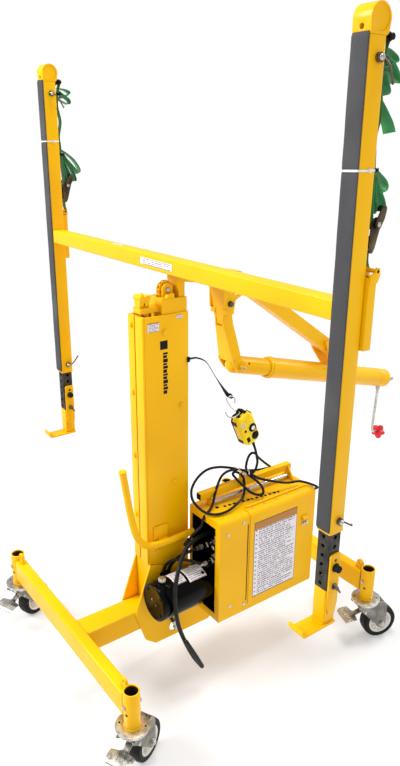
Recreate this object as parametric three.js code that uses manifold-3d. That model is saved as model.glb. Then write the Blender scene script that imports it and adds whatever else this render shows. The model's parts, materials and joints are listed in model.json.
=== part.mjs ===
// Battery-hydraulic panel lifter: an H base on four braked casters, a three stage chain mast,
// a tilting load frame with two padded uprights, a crank jack, a power unit and a hand pendant.
// Millimetres. +X runs across the machine, -Y is the padded load side, +Z is up, the floor is z = 0.
// Everything is drawn from the mast's centre line and the middle of the wheelbase; the finished
// machine is then moved so that its origin is the middle of its outline on the floor.
import * as THREE from 'three';
import { mergeVertices } from 'three/addons/utils/BufferGeometryUtils.js';
import Module from 'manifold-3d';

const wasm = await Module();
wasm.setup();

// ---------------------------------------------------------------- driving dimensions
const GAP = 0.3;                 // air left between pieces that only rest on each other
const RUNNING = 0.3;             // radial clearance of a turning pin, measured between corners
const FINE = 20;                 // sides of a large round
const ROUND = 12;                // sides of a medium round
const SMALL = 8;                 // sides of a small round

const base = {
  rightX: 335, leftX: -475,      // caster tube centres; the mast stands nearer the right pair
  frontY: -485, rearY: 485,
  beamTop: 271, beamHeight: 76, crossWidth: 38, spineHalf: 40, wall: 4,
  tubeRadius: 24, boreRadius: 20, tubeTop: 290, tubeBottom: 170,
};
const caster = {
  plateRadius: 50, plateThick: 5, trail: 58, axleZ: 63.5,
  wheelRadius: 63.5, treadHalf: 22, forkInner: 26, forkThick: 4, ringRadius: 47,
  brakeX: -12, brakeZ: 124,
};
// Heading of each trailing wheel, in degrees from +X.
const casters = [
  { name: 'front_right', x: base.rightX, y: base.frontY, heading: 117 },
  { name: 'front_left', x: base.leftX, y: base.frontY, heading: 112 },
  { name: 'rear_right', x: base.rightX, y: base.rearY, heading: 71 },
  { name: 'rear_left', x: base.leftX, y: base.rearY, heading: 84 },
];
const mast = {
  half: 39.7, front: -239, rear: -84, wall: 4, bottom: 271.3, top: 1240, stripThick: 6, boltX: -20,
};
const middle = { half: 35, front: -175, rear: -88.6, wall: 3.5, bottom: 300, top: 1283 };
const inner = { half: 30, front: -113, rear: -92.6, wall: 3, bottom: 320, top: 1370 };
const sprocket = { y: -142, z: 1306, pitchRadius: 21, chainThick: 10, chainHalf: 7, pinRadius: 5 };
const ram = { y: -207, radius: 15, barrelRadius: 25, barrelTop: 1180 };
const pivot = { y: 72, z: 1240, pinRadius: 6 };
const clevis = { y: 122, z: 1027, pinRadius: 7, eyeRadius: 15 };
const jack = {
  slope: 14.68,                  // degrees the jack falls towards the rear
  tubeRadius: 35, rodRadius: 29, tubeStart: 142, capStart: 735, tubeEnd: 802,
  rodEnd: 640, trunnion: 515, trunnionRadius: 8, crankAt: 765, crankLength: 215, crankLean: 8.5,
};
const boom = { half: 22.25, kneeY: 115, kneeZ: 1313, startZ: 1347, endY: 596, endZ: 984 };
const frame = {
  postX: 701.5, half: 22.25, wall: 2.7, front: -172, rear: -127.5,
  postBottom: 862, postTop: 1893, barBottom: 1359, barTop: 1403.5,
  padBottom: 868, padTop: 1898, padHalf: 20.5, padThick: 5,
};
const leg = {
  half: 19.05, wall: 3, bottom: 709.4, top: 1240, holePitch: 25.4, holeRadius: 5.5, holes: 8,
};
const lockPinZ = { leg: 894, cap: 1856 };
const ratchet = { y: -104, z: 1556, axleRadius: 3.8, spoolRadius: 9 };
const shoe = { soleTop: 613, soleThick: 6, lipFront: -243, soleRear: -131, plateTop: 808 };
const box = {
  left: 46.6, right: 207, front: -85, rear: 325, bottom: 240, top: 603, sheet: 2.5, corner: 16,
};
const door = { front: 36, rear: 300, bottom: 262, hingeX: 175.5, hingeRadius: 3.5, thick: 2 };
const motor = { x: 122, z: 352, radius: 62, front: -277, rear: -20 };
const filler = { y: -244, radius: 12 };
const outlineCentre = { x: 3, y: 179.5 };   // middle of the whole outline, which becomes the origin

// ---------------------------------------------------------------- finishes
const finishes = {
  paint: { color: 0xf2b211, roughness: 0.42, metalness: 0.1 },
  zinc: { color: 0xb4b09f, roughness: 0.38, metalness: 0.85 },
  chrome: { color: 0xd5d6d8, roughness: 0.16, metalness: 1 },
  darkSteel: { color: 0x55524d, roughness: 0.55, metalness: 0.6 },
  bronze: { color: 0x4b4034, roughness: 0.45, metalness: 0.7 },
  blackPaint: { color: 0x16161a, roughness: 0.28, metalness: 0.3 },
  blackRubber: { color: 0x1b1b1d, roughness: 0.7, metalness: 0 },
  tyre: { color: 0x17171a, roughness: 0.55, metalness: 0 },
  foam: { color: 0x4f5153, roughness: 0.95, metalness: 0 },
  webbing: { color: 0x15803f, roughness: 0.85, metalness: 0 },
  red: { color: 0xd0282e, roughness: 0.4, metalness: 0 },
  white: { color: 0xe9e9e6, roughness: 0.5, metalness: 0 },
  housing: { color: 0xf0cf1c, roughness: 0.45, metalness: 0 },
};

const group = new THREE.Group();

// ---------------------------------------------------------------- solids
function solid(geometry) {
  const flat = geometry.clone();
  flat.deleteAttribute('normal');
  flat.deleteAttribute('uv');
  const welded = mergeVertices(flat, 1e-4);
  const vertProperties = new Float32Array(welded.attributes.position.array);
  const triVerts = new Uint32Array(welded.index.array);
  return new wasm.Manifold(new wasm.Mesh({ numProp: 3, vertProperties, triVerts }));
}

function join(...pieces) {
  return pieces.reduce((whole, piece) => whole.add(piece));
}

function cut(whole, ...tools) {
  return tools.reduce((left, tool) => left.subtract(tool), whole);
}

function addPart(name, piece, finish) {
  const mesh = piece.getMesh();
  const geometry = new THREE.BufferGeometry();
  geometry.setAttribute('position',
    new THREE.BufferAttribute(new Float32Array(mesh.vertProperties), 3));
  geometry.setIndex(new THREE.BufferAttribute(new Uint32Array(mesh.triVerts), 1));
  geometry.computeVertexNormals();
  const part = new THREE.Mesh(geometry, new THREE.MeshStandardMaterial(finishes[finish]));
  part.name = name;
  group.add(part);
}

function block(x0, x1, y0, y1, z0, z1) {
  const geometry = new THREE.BoxGeometry(x1 - x0, y1 - y0, z1 - z0);
  geometry.translate((x0 + x1) / 2, (y0 + y1) / 2, (z0 + z1) / 2);
  return solid(geometry);
}

// Turn that takes a shape drawn along +Y to another direction.
function turnFromY(direction) {
  return new THREE.Quaternion().setFromUnitVectors(new THREE.Vector3(0, 1, 0), direction);
}

// Round bar between two points, tapering when a second radius is given.
function bar(from, to, radius, sides = ROUND, endRadius = radius) {
  const a = new THREE.Vector3(...from);
  const b = new THREE.Vector3(...to);
  const along = b.clone().sub(a);
  const geometry = new THREE.CylinderGeometry(endRadius, radius, along.length(), sides);
  const turn = turnFromY(along.clone().normalize());
  geometry.applyQuaternion(turn);
  geometry.translate(...a.add(b).multiplyScalar(0.5).toArray());
  return solid(geometry);
}

function outline(points) {
  return new THREE.Shape(points.map(([u, v]) => new THREE.Vector2(u, v)));
}

// Slab of the given thickness whose outline is a list of points or a ready shape.
function slab(points, depth) {
  const shape = Array.isArray(points) ? outline(points) : points;
  return new THREE.ExtrudeGeometry(shape, { depth, bevelEnabled: false, curveSegments: 6 });
}

// Flat plate whose outline is drawn in the Y-Z plane, between two X positions.
function plateYZ(points, x0, x1) {
  const geometry = slab(points, x1 - x0);
  geometry.applyMatrix4(new THREE.Matrix4().makeBasis(
    new THREE.Vector3(0, 1, 0), new THREE.Vector3(0, 0, 1), new THREE.Vector3(1, 0, 0)));
  geometry.translate(x0, 0, 0);
  return solid(geometry);
}

// Flat plate whose outline is drawn in the X-Z plane, between two Y positions.
function plateXZ(points, y0, y1) {
  const geometry = slab(points, y1 - y0);
  geometry.rotateX(Math.PI / 2);
  geometry.translate(0, y1, 0);
  return solid(geometry);
}

// Round cord or tube that follows a smooth path.
function cord(points, radius, steps, sides = 8) {
  const path = new THREE.CatmullRomCurve3(points.map((p) => new THREE.Vector3(...p)), false, 'centripetal');
  const circle = new THREE.Shape();
  for (let i = 0; i < sides; i += 1) {
    const angle = (i / sides) * 2 * Math.PI;
    const u = radius * Math.cos(angle);
    const v = radius * Math.sin(angle);
    if (i === 0) circle.moveTo(u, v);
    else circle.lineTo(u, v);
  }
  return solid(new THREE.ExtrudeGeometry(circle, { steps, extrudePath: path, bevelEnabled: false }));
}

// Solid of revolution about a line parallel to `axis`; profile is [radius, distance] and meets the axis.
function turned(profile, axis, origin, sides = FINE) {
  const geometry = new THREE.LatheGeometry(profile.map(([r, h]) => new THREE.Vector2(r, h)), sides);
  const turn = turnFromY(new THREE.Vector3(...axis));
  geometry.applyQuaternion(turn);
  geometry.translate(...origin);
  return solid(geometry);
}

// Square tube along Z, open at both ends.
function squareTube(x, half, y0, y1, z0, z1, wall) {
  return cut(
    block(x - half, x + half, y0, y1, z0, z1),
    block(x - half + wall, x + half - wall, y0 + wall, y1 - wall, z0 - 1, z1 + 1),
  );
}

// ---------------------------------------------------------------- base and casters
function baseFrame() {
  const bottom = base.beamTop - base.beamHeight;
  const halfCross = base.crossWidth / 2;
  const shells = [];
  const hollows = [];
  for (const y of [base.frontY, base.rearY]) {
    shells.push(block(base.leftX, base.rightX, y - halfCross, y + halfCross, bottom, base.beamTop));
    hollows.push(block(base.leftX, base.rightX, y - halfCross + base.wall, y + halfCross - base.wall,
      bottom + base.wall, base.beamTop - base.wall));
    for (const x of [base.leftX, base.rightX]) {
      shells.push(bar([x, y, base.tubeBottom - 1], [x, y, base.tubeTop], base.tubeRadius, FINE));
      shells.push(
        bar([x, y, base.tubeBottom - caster.plateThick], [x, y, base.tubeBottom], caster.plateRadius, FINE));
      hollows.push(bar([x, y, base.tubeBottom + 8], [x, y, base.tubeTop + 1], base.boreRadius, FINE));
      shells.push(liftingEar(x - Math.sign(x) * 38, y));
      const earX = x - Math.sign(x) * 38;
      hollows.push(bar([earX, y - 20, 293], [earX, y + 20, 293], 5, SMALL));
    }
  }
  const inset = base.spineHalf - base.wall;
  shells.push(block(-base.spineHalf, base.spineHalf, base.frontY, base.rearY, bottom, base.beamTop));
  hollows.push(block(-inset, inset, base.frontY, base.rearY, bottom + base.wall, base.beamTop - base.wall));
  for (const side of [-1, 1]) {
    shells.push(mastFootPlate(side));
  }
  return cut(join(...shells), ...hollows);
}

// Rounded ear with a hole that stands on the beam beside a caster tube.
function liftingEar(x, y) {
  const shape = new THREE.Shape();
  shape.moveTo(x - 17, base.beamTop - 2);
  shape.lineTo(x + 17, base.beamTop - 2);
  shape.absarc(x, 294, 13, 0, Math.PI, false);
  return plateXZ(shape, y - 4, y + 4);
}

// Plate that straddles the spine beam and carries the mast foot; the cylinder foot hangs in its lower end.
function mastFootPlate(side) {
  const x0 = side > 0 ? base.spineHalf : -base.spineHalf - 6;
  const plate = plateYZ([
    [-298, 262], [-262, 150], [-222, 118], [2, 118], [14, 150], [14, 262], [-62, 300], [-70, 372],
    [-238, 430],
  ], x0, x0 + 6);
  return side > 0 ? cut(plate, bar([x0 - 1, -146, 156], [x0 + 7, -146, 156], 22, FINE)) : plate;
}

// The casters are drawn with the wheel trailing towards +X about the swivel axis, then turned into place.
function placeCaster(piece, { x, y, heading }) {
  return piece.rotate([0, 0, heading]).translate([x, y, 0]);
}

// Pin across the caster, reaching the same distance to either side.
function crossPin(x, z, reach, radius, sides) {
  return bar([x, -reach, z], [x, reach, z], radius, sides);
}

function casterFork() {
  const top = base.tubeBottom - caster.plateThick - GAP;
  const legs = [-1, 1].map((side) => {
    const shape = new THREE.Shape();
    shape.moveTo(-40, top - 12);
    shape.lineTo(-36, top - 24);
    shape.lineTo(caster.trail - 16, caster.axleZ - 6);
    shape.absarc(caster.trail, caster.axleZ, 16, Math.PI * 1.1, Math.PI * 2, false);
    shape.lineTo(caster.trail + 16, top - 26);
    shape.lineTo(caster.trail + 8, top - 12);
    const y0 = side > 0 ? caster.forkInner : -caster.forkInner - caster.forkThick;
    return plateXZ(shape, y0, y0 + caster.forkThick);
  });
  const outer = caster.forkInner + caster.forkThick;
  return join(
    ...legs,
    block(-40, caster.trail + 8, -outer, outer, top - 16, top - 11),
    bar([0, 0, top - 11.5], [0, 0, top], caster.ringRadius - 3, FINE, caster.ringRadius),
    crossPin(caster.trail, caster.axleZ, outer + 9, 5, SMALL),
    ...[-1, 1].map((side) => bar([caster.trail, side * outer, caster.axleZ],
      [caster.trail, side * (outer + 8), caster.axleZ], 9, 6)),
    crossPin(caster.brakeX, caster.brakeZ, outer, 3.5, SMALL),
  );
}

function casterWheel() {
  const r = caster.wheelRadius;
  const half = caster.treadHalf;
  const profile = [
    [5.4, -24], [13, -24], [14, -15], [38, -14], [43, -half], [r - 7, -half], [r, -half + 8],
    [r, half - 8], [r - 7, half], [43, half], [38, 14], [14, 15], [13, 24], [5.4, 24], [5.4, -24],
  ];
  return turned(profile, [0, 1, 0], [caster.trail, 0, caster.axleZ], FINE);
}

// Brake pedal: an eye round the fork's cross pin, a stem and a broad curled toe plate.
function casterBrake() {
  const stem = plateXZ(
    [[-19, 130], [-8, 131], [-5, 118], [-14, 113], [-50, 104], [-56, 111], [-26, 124]], -12, 12);
  const toe = plateXZ([[-48, 103], [-54, 112], [-86, 108], [-92, 101], [-87, 99]], -42, 42);
  return cut(join(stem, toe), crossPin(caster.brakeX, caster.brakeZ, 13, 3.9, SMALL));
}

addPart('base_frame', baseFrame(), 'paint');
for (const station of casters) {
  addPart(`caster_fork_${station.name}`, placeCaster(casterFork(), station), 'zinc');
  addPart(`caster_wheel_${station.name}`, placeCaster(casterWheel(), station), 'tyre');
  addPart(`caster_brake_${station.name}`, placeCaster(casterBrake(), station), 'zinc');
}

// ---------------------------------------------------------------- lifting mast
function mastOuter() {
  const shell = squareTube(0, mast.half, mast.front, mast.rear, mast.bottom, mast.top, mast.wall);
  const stripFront = mast.front - mast.stripThick;
  const bolts = [590, 797, 1004, 1211].map(
    (z) => bar([mast.boltX, stripFront + 1, z], [mast.boltX, stripFront - 8, z], 8, 6));
  return join(
    shell,
    block(-mast.half, -6, stripFront, mast.front + 1, 432, mast.top),
    block(0, mast.half, stripFront, mast.front + 1, 432, mast.top),
    ...bolts,
    bar([mast.half - 1, -170, 1190], [mast.half + 8, -170, 1190], 9, 6),
    bar([mast.half - 1, -140, 700], [mast.half + 8, -140, 700], 9, 6),
  );
}

function mastMiddle() {
  const shell = squareTube(
    0, middle.half, middle.front, middle.rear, middle.bottom, middle.top, middle.wall);
  const chainSlot = block(-9.5, 9.5, -170, -156.5, 1240, 1300);
  const topPlate = cut(block(-34, 34, middle.front + 1, -129.5, 1276, middle.top + 3), chainSlot);
  const cheeks = [-1, 1].map((side) => {
    const shape = new THREE.Shape();
    shape.moveTo(-160, 1280);
    shape.lineTo(-131, 1280);
    shape.lineTo(sprocket.y + 18, sprocket.z);
    shape.absarc(sprocket.y, sprocket.z, 18, 0, Math.PI, false);
    return plateYZ(shape, side > 0 ? 9.5 : -15.5, side > 0 ? 15.5 : -9.5);
  });
  const stop = plateYZ([[-160, 1280], [-131, 1280], [-131, 1296.5], [-152, 1294]], 15, 34);
  return cut(join(shell, topPlate, ...cheeks, stop, ramHead()),
    bar([-20, sprocket.y, sprocket.z], [20, sprocket.y, sprocket.z], sprocket.pinRadius + RUNNING, ROUND));
}

// Bridge plate over the ram with a flared, slotted block whose top ends in two round lobes.
function ramHead() {
  const flared = plateXZ([[-11, 1260], [11, 1260], [19, 1290], [-19, 1290]], ram.y - 29, ram.y + 3);
  const lobes = [-22, -4].map((u) => bar([-19, ram.y + u, 1290], [19, ram.y + u, 1290], 9, ROUND));
  return cut(
    join(block(-20, 20, ram.y - 31, middle.front + 2, 1246.5, 1262), flared, ...lobes),
    block(-8, 8, ram.y - 17, ram.y - 9, 1278, 1300),
    block(-30, 30, ram.y - 15, ram.y - 11, 1266, 1276),
  );
}

// Ram: pushes the middle stage up through the bridge plate in front of it.
function liftRam() {
  return bar([0, ram.y, 320], [0, ram.y, 1246.2], ram.radius, ROUND);
}

function liftCylinder() {
  const barrel = cut(
    bar([0, ram.y, 280], [0, ram.y, ram.barrelTop], ram.barrelRadius, FINE),
    bar([0, ram.y, 300], [0, ram.y, ram.barrelTop + 1], ram.radius + 0.6, FINE),
  );
  return barrel;
}

// Chain: a loop over the sprocket whose two strands hang down inside the mast.
function liftChain() {
  const r0 = sprocket.pitchRadius - sprocket.chainThick / 2;
  const r1 = sprocket.pitchRadius + sprocket.chainThick / 2;
  const shape = new THREE.Shape();
  shape.moveTo(sprocket.y - r1, 430);
  shape.lineTo(sprocket.y - r0, 430);
  shape.lineTo(sprocket.y - r0, sprocket.z);
  shape.absarc(sprocket.y, sprocket.z, r0, Math.PI, 0, true);
  shape.lineTo(sprocket.y + r0, 340);
  shape.lineTo(sprocket.y + r1, 340);
  shape.lineTo(sprocket.y + r1, sprocket.z);
  shape.absarc(sprocket.y, sprocket.z, r1, 0, Math.PI, false);
  return plateYZ(shape, -sprocket.chainHalf, sprocket.chainHalf);
}

function chainSprocket() {
  const r = sprocket.pitchRadius - sprocket.chainThick / 2 - GAP;
  return join(
    bar([-8.5, sprocket.y, sprocket.z], [8.5, sprocket.y, sprocket.z], r, FINE),
    bar([-19, sprocket.y, sprocket.z], [19, sprocket.y, sprocket.z], sprocket.pinRadius, ROUND),
    bar([15.8, sprocket.y, sprocket.z], [20.5, sprocket.y, sprocket.z], 7.5, 6),
  );
}

function mastInner() {
  const column = squareTube(0, inner.half, inner.front, inner.rear, inner.bottom, inner.top, inner.wall);
  const cap = block(-inner.half, inner.half, inner.front, inner.rear, inner.top - 6, inner.top);
  return join(column, cap);
}

// Boom: leaves the column behind the crossbar, bends at a knee and falls to the jack trunnion.
function tiltBoom() {
  const start = [inner.rear + GAP, boom.startZ];
  const knee = [boom.kneeY, boom.kneeZ];
  const end = [boom.endY, boom.endZ];
  const fall = Math.atan2(end[1] - knee[1], end[0] - knee[0]);
  const first = Math.atan2(knee[1] - start[1], knee[0] - start[0]);
  const offset = ([y, z], angle, side) => [
    y - side * boom.half * Math.sin(angle), z + side * boom.half * Math.cos(angle)];
  const bisector = (first + fall) / 2;
  const neck = plateYZ([
    [start[0], start[1] - boom.half], offset(knee, bisector, -1), offset(end, fall, -1),
    offset(end, fall, 1), offset(knee, bisector, 1), [start[0], start[1] + boom.half],
  ], -boom.half, boom.half);
  const t = trunnionPoint();
  const forks = [-1, 1].map((side) => {
    const shape = new THREE.Shape();
    shape.moveTo(500, 1052);
    shape.lineTo(520, 1002);
    shape.lineTo(t.y - 20, t.z);
    shape.absarc(t.y, t.z, 20, Math.PI, Math.PI * 2, false);
    shape.lineTo(622, 968);
    shape.lineTo(608, 1000);
    return plateYZ(shape, side > 0 ? 37 : -43, side > 0 ? 43 : -37);
  });
  const spacers = block(-43, 43, 530, 590, 1004, 1020);
  const lugs = [-1, 1].map((side) => {
    const shape = new THREE.Shape();
    shape.moveTo(104, 1302);
    shape.absarc(pivot.y, pivot.z, 12, Math.PI * 0.8, Math.PI * 1.75, false);
    shape.lineTo(160, 1272);
    return plateYZ(shape, side > 0 ? 16 : -boom.half, side > 0 ? boom.half : -16);
  });
  return cut(
    join(neck, ...forks, spacers, ...lugs),
    bar([-60, t.y, t.z], [60, t.y, t.z], jack.trunnionRadius + RUNNING, ROUND),
    bar([-60, pivot.y, pivot.z], [60, pivot.y, pivot.z], pivot.pinRadius + RUNNING, ROUND),
  );
}

// Pin the load frame turns on; it stays in the boom's lugs.
function tiltPin() {
  return join(
    bar([-44, pivot.y, pivot.z], [44, pivot.y, pivot.z], pivot.pinRadius, ROUND),
    ...[-1, 1].map((side) => bar([side * 38.2, pivot.y, pivot.z], [side * 46, pivot.y, pivot.z], 9, 6)),
  );
}

addPart('mast_outer', mastOuter(), 'paint');
addPart('lift_cylinder', liftCylinder(), 'blackPaint');
addPart('mast_middle', mastMiddle(), 'paint');
addPart('lift_ram', liftRam(), 'chrome');
addPart('lift_chain', liftChain(), 'paint');
addPart('chain_sprocket', chainSprocket(), 'paint');
addPart('mast_inner', mastInner(), 'paint');
addPart('tilt_boom', tiltBoom(), 'paint');
addPart('tilt_pin', tiltPin(), 'zinc');

// ---------------------------------------------------------------- tilt jack
// Point on the jack's axis, measured backwards from the clevis pin.
function jackPoint(distance, x = 0, drop = 0) {
  const angle = THREE.MathUtils.degToRad(jack.slope);
  return [
    x,
    clevis.y + distance * Math.cos(angle) - drop * Math.sin(angle),
    clevis.z - distance * Math.sin(angle) - drop * Math.cos(angle),
  ];
}

function trunnionPoint() {
  const [, y, z] = jackPoint(jack.trunnion);
  return { y, z };
}

function jackAxis() {
  const angle = THREE.MathUtils.degToRad(jack.slope);
  return [0, Math.cos(angle), -Math.sin(angle)];
}

function jackTube() {
  const t = trunnionPoint();
  return cut(
    join(
      bar(jackPoint(jack.tubeStart), jackPoint(jack.capStart), jack.tubeRadius, FINE),
      bar([-45, t.y, t.z], [45, t.y, t.z], jack.trunnionRadius, ROUND),
    ),
    bar(jackPoint(jack.tubeStart - 1), jackPoint(700), jack.rodRadius + 0.6, FINE),
  );
}

function jackRod() {
  const ball = new THREE.SphereGeometry(jack.rodRadius, 16, 10);
  ball.translate(0, clevis.y, clevis.z);
  return cut(
    join(bar(jackPoint(0), jackPoint(jack.rodEnd), jack.rodRadius, FINE), solid(ball)),
    bar([-40, clevis.y, clevis.z], [40, clevis.y, clevis.z], clevis.eyeRadius, ROUND),
  );
}

// Turning end cap of the jack with the end of the screw; the crank arm screws into its underside.
function crankCap() {
  const length = jack.tubeEnd - jack.capStart - GAP;
  const r = jack.tubeRadius;
  const profile = [
    [0, 0], [r, 0], [r, length - 14], [r - 2, length - 7], [r - 7, length - 2], [r - 14, length], [0, length],
  ];
  return join(
    turned(profile, jackAxis(), jackPoint(jack.capStart + GAP), FINE),
    bar(jackPoint(jack.tubeEnd - 4), jackPoint(jack.tubeEnd + 38), 8, SMALL),
    bar(jackPoint(jack.tubeEnd + 37), jackPoint(jack.tubeEnd + 48), 8, SMALL, 3),
  );
}

function crankDirection(reach) {
  const lean = THREE.MathUtils.degToRad(jack.crankLean);
  return { side: reach * Math.sin(lean), drop: reach * Math.cos(lean) };
}

function crankArm() {
  const start = crankDirection(jack.tubeRadius - 6);
  const bend = crankDirection(jack.crankLength);
  const before = crankDirection(jack.crankLength - 20);
  const arm = cord([
    jackPoint(jack.crankAt, start.side, start.drop),
    jackPoint(jack.crankAt, before.side * 0.6, before.drop * 0.6),
    jackPoint(jack.crankAt, before.side, before.drop),
    jackPoint(jack.crankAt + 8, bend.side, bend.drop - 4),
    jackPoint(jack.crankAt + 28, bend.side, bend.drop),
  ], 5, 22);
  const collar = crankDirection(jack.tubeRadius + 12);
  return join(
    crankCap(),
    arm,
    bar(jackPoint(jack.crankAt, start.side, start.drop),
      jackPoint(jack.crankAt, collar.side, collar.drop), 8.5, SMALL),
  );
}

// Five-lobed hand knob on the crank's outer end.
function crankKnob() {
  const centre = crankDirection(jack.crankLength);
  const lobes = [];
  for (let i = 0; i < 5; i += 1) {
    const angle = (i / 5) * 2 * Math.PI;
    const x = centre.side + 18 * Math.cos(angle);
    const drop = centre.drop + 18 * Math.sin(angle);
    lobes.push(bar(jackPoint(jack.crankAt + 31, x, drop), jackPoint(jack.crankAt + 56, x, drop), 11, SMALL));
  }
  return join(
    bar(jackPoint(jack.crankAt + 31, centre.side, centre.drop),
      jackPoint(jack.crankAt + 54, centre.side, centre.drop), 17, ROUND),
    ...lobes,
  );
}

addPart('jack_tube', jackTube(), 'paint');
addPart('jack_rod', jackRod(), 'paint');
addPart('crank_arm', crankArm(), 'zinc');
addPart('crank_knob', crankKnob(), 'red');

// ---------------------------------------------------------------- tilting load frame
function crossbar() {
  const end = frame.postX - frame.half - GAP;
  return cut(
    block(-end, end, frame.front, frame.rear, frame.barBottom, frame.barTop),
    block(-end - 1, end + 1, frame.front + 3, frame.rear - 3, frame.barBottom + 3, frame.barTop - 3),
  );
}

// Upright tube with its rear strap channel and hook.
function post(side) {
  const x = side * frame.postX;
  const outer = (u) => x + side * u;
  const span = (u0, u1) => [Math.min(outer(u0), outer(u1)), Math.max(outer(u0), outer(u1))];
  const tube = squareTube(
    x, frame.half, frame.front, frame.rear, frame.postBottom, frame.postTop, frame.wall);
  const [c0, c1] = span(-8, 33);
  const [h0, h1] = span(2, 36);
  const [n0, n1] = span(12, 26);
  const channel = block(c0, c1, frame.rear - 0.5, frame.rear + 22, 1298, 1452);
  const hook = join(
    block(h0, h1, frame.rear - 0.5, frame.rear + 26, 1432, 1462),
    bar([h0, frame.rear + 22, 1464], [h1, frame.rear + 22, 1464], 8, SMALL),
  );
  const slot = block(n0, n1, frame.rear + 6, frame.rear + 12, 1420, 1480);
  const pinHoles = [lockPinZ.leg, lockPinZ.cap].map(
    (z) => bar([x + 10, -147, z], [x + 30, -147, z], 5.4, SMALL));
  return cut(join(tube, channel, hook), slot, ...pinHoles);
}

// Hooded cap on each post: two round cheeks, a curved band with a sight hole and a strap roller behind.
function headCap(x) {
  const shape = new THREE.Shape();
  shape.moveTo(frame.front, frame.postTop + GAP);
  shape.lineTo(-100, frame.postTop + GAP);
  shape.lineTo(-92, 1884);
  shape.absarc(-86, 1897, 13, -Math.PI / 2, Math.PI / 4, false);
  shape.lineTo(-127, 1940);
  shape.absarc(-146, 1921, 27, Math.PI / 4, Math.PI, false);
  const body = plateYZ(shape, x - frame.half, x + frame.half);
  const pocket = block(x - frame.half + 5, x + frame.half - 5, -118, -60, 1870, 1945);
  return cut(
    body,
    pocket,
    bar([x, -190, 1908], [x, -128, 1908], 6.5, ROUND),
    block(x - 14, x + 14, -160, -110, 1896.5, 1922),
  );
}

// Cap, strap roller, stem inside the post, and the quick pin that holds the stem.
function headAssembly(side) {
  const x = side * frame.postX;
  const stem = leg.half;
  const middleY = (frame.front + frame.rear) / 2;
  return join(
    headCap(x),
    bar([x - 16.5, -90, 1899], [x + 16.5, -90, 1899], 7, ROUND),
    bar([x - frame.half - 4, -90, 1899], [x + frame.half + 4, -90, 1899], 3.5, SMALL),
    block(x - stem, x + stem, middleY - stem, middleY + stem, 1820, frame.postTop + 4),
    lockPin(x + stem - 1, -147, lockPinZ.cap, -42),
  );
}

// Quick pin that comes out of the +X face at x, with a washer head and a wire bail.
function lockPin(x, y, z, bailDrop) {
  const face = x + frame.half - leg.half + 1;
  return join(
    bar([x, y, z], [face + 2, y, z], 5, SMALL),
    bar([face + GAP, y, z], [face + 5, y, z], 9, ROUND),
    bar([face + 4.5, y, z], [face + 14, y, z], 5.5, SMALL),
    cord([
      [face + 12, y, z], [face + 16, y + 22, z + bailDrop * 0.5], [face + 8, y + 40, z + bailDrop],
    ], 1.8, 7, 6),
  );
}

// Foam strip glued to the front of a post, with its lower end bevelled.
function pad(side) {
  const x = side * frame.postX;
  const y1 = frame.front - GAP;
  return plateYZ([
    [y1, frame.padBottom], [y1, frame.padTop], [y1 - frame.padThick, frame.padTop],
    [y1 - frame.padThick, frame.padBottom + 5],
  ], x - frame.padHalf, x + frame.padHalf);
}

// Swing arm: two goosenecks from the crossbar to the tilt pin, a tapered front plate and a flared clevis.
function tiltArm() {
  const start = frame.rear + GAP;
  const gooseneck = [-1, 1].map((side) => plateYZ([
    [start, 1366], [-60, 1326], [0, 1305], [47, 1290], [49, 1225], [88, 1218], [94, 1250], [84, 1322],
    [60, 1344], [0, 1360], [-100, 1386], [start, 1392],
  ], side > 0 ? 31.3 : -37.3, side > 0 ? 37.3 : -31.3));
  const lean = THREE.MathUtils.degToRad(8.3);
  const front = new THREE.ExtrudeGeometry(
    outline([[-38, 0], [38, 0], [22, -118], [-22, -118]]), { depth: 5, bevelEnabled: false });
  front.rotateX(Math.PI / 2 + lean);
  front.translate(0, 51, 1288);
  const waist = [-1, 1].map((side) => plateYZ(
    [[57, 1212], [92, 1206], [99, 1160], [61, 1160]], side > 0 ? 16 : -22, side > 0 ? 22 : -16));
  const shelf = [-1, 1].map((side) => block(
    side > 0 ? 16 : -37.3, side > 0 ? 37.3 : -16, 54, 88, 1206, 1222));
  const flare = [-1, 1].map((side) => flaredPlate(side));
  const apron = flaredApron();
  const ears = [-1, 1].map((side) => {
    const shape = new THREE.Shape();
    shape.moveTo(86, 1052);
    shape.lineTo(92, 1036);
    shape.absarc(clevis.y, clevis.z, 20, Math.PI * 1.1, Math.PI * 2.3, false);
    shape.lineTo(118, 1062);
    return plateYZ(shape, side > 0 ? 32 : -38, side > 0 ? 38 : -32);
  });
  const pin = join(
    bar([-46, clevis.y, clevis.z], [46, clevis.y, clevis.z], clevis.pinRadius, ROUND),
    ...[-1, 1].map((side) => bar([side * 37.5, clevis.y, clevis.z], [side * 45, clevis.y, clevis.z], 12, 6)),
  );
  const pivotHole = bar([-60, pivot.y, pivot.z], [60, pivot.y, pivot.z], pivot.pinRadius + RUNNING, ROUND);
  return cut(join(...gooseneck, solid(front), ...waist, ...shelf, ...flare, apron, ...ears, pin), pivotHole);
}

const FLARE = 16 / 120;          // sideways spread of the clevis plates per millimetre of drop
const FLARE_TOP = 1166;

// Leans a plate outwards below FLARE_TOP by shearing it sideways.
function spread(geometry, amount) {
  const points = geometry.attributes.position;
  for (let i = 0; i < points.count; i += 1) {
    points.setX(i, points.getX(i) + amount * (FLARE_TOP - points.getZ(i)));
  }
  return solid(geometry);
}

function flaredPlate(side) {
  const shape = outline([[61, FLARE_TOP], [99, FLARE_TOP], [112, 1110], [124, 1046], [90, 1046]]);
  const geometry = new THREE.ExtrudeGeometry(shape, { depth: 6, bevelEnabled: false });
  geometry.applyMatrix4(new THREE.Matrix4().makeBasis(
    new THREE.Vector3(0, 1, 0), new THREE.Vector3(0, 0, 1), new THREE.Vector3(1, 0, 0)));
  geometry.translate(side > 0 ? 16 : -22, 0, 0);
  return spread(geometry, side * FLARE);
}

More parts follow.
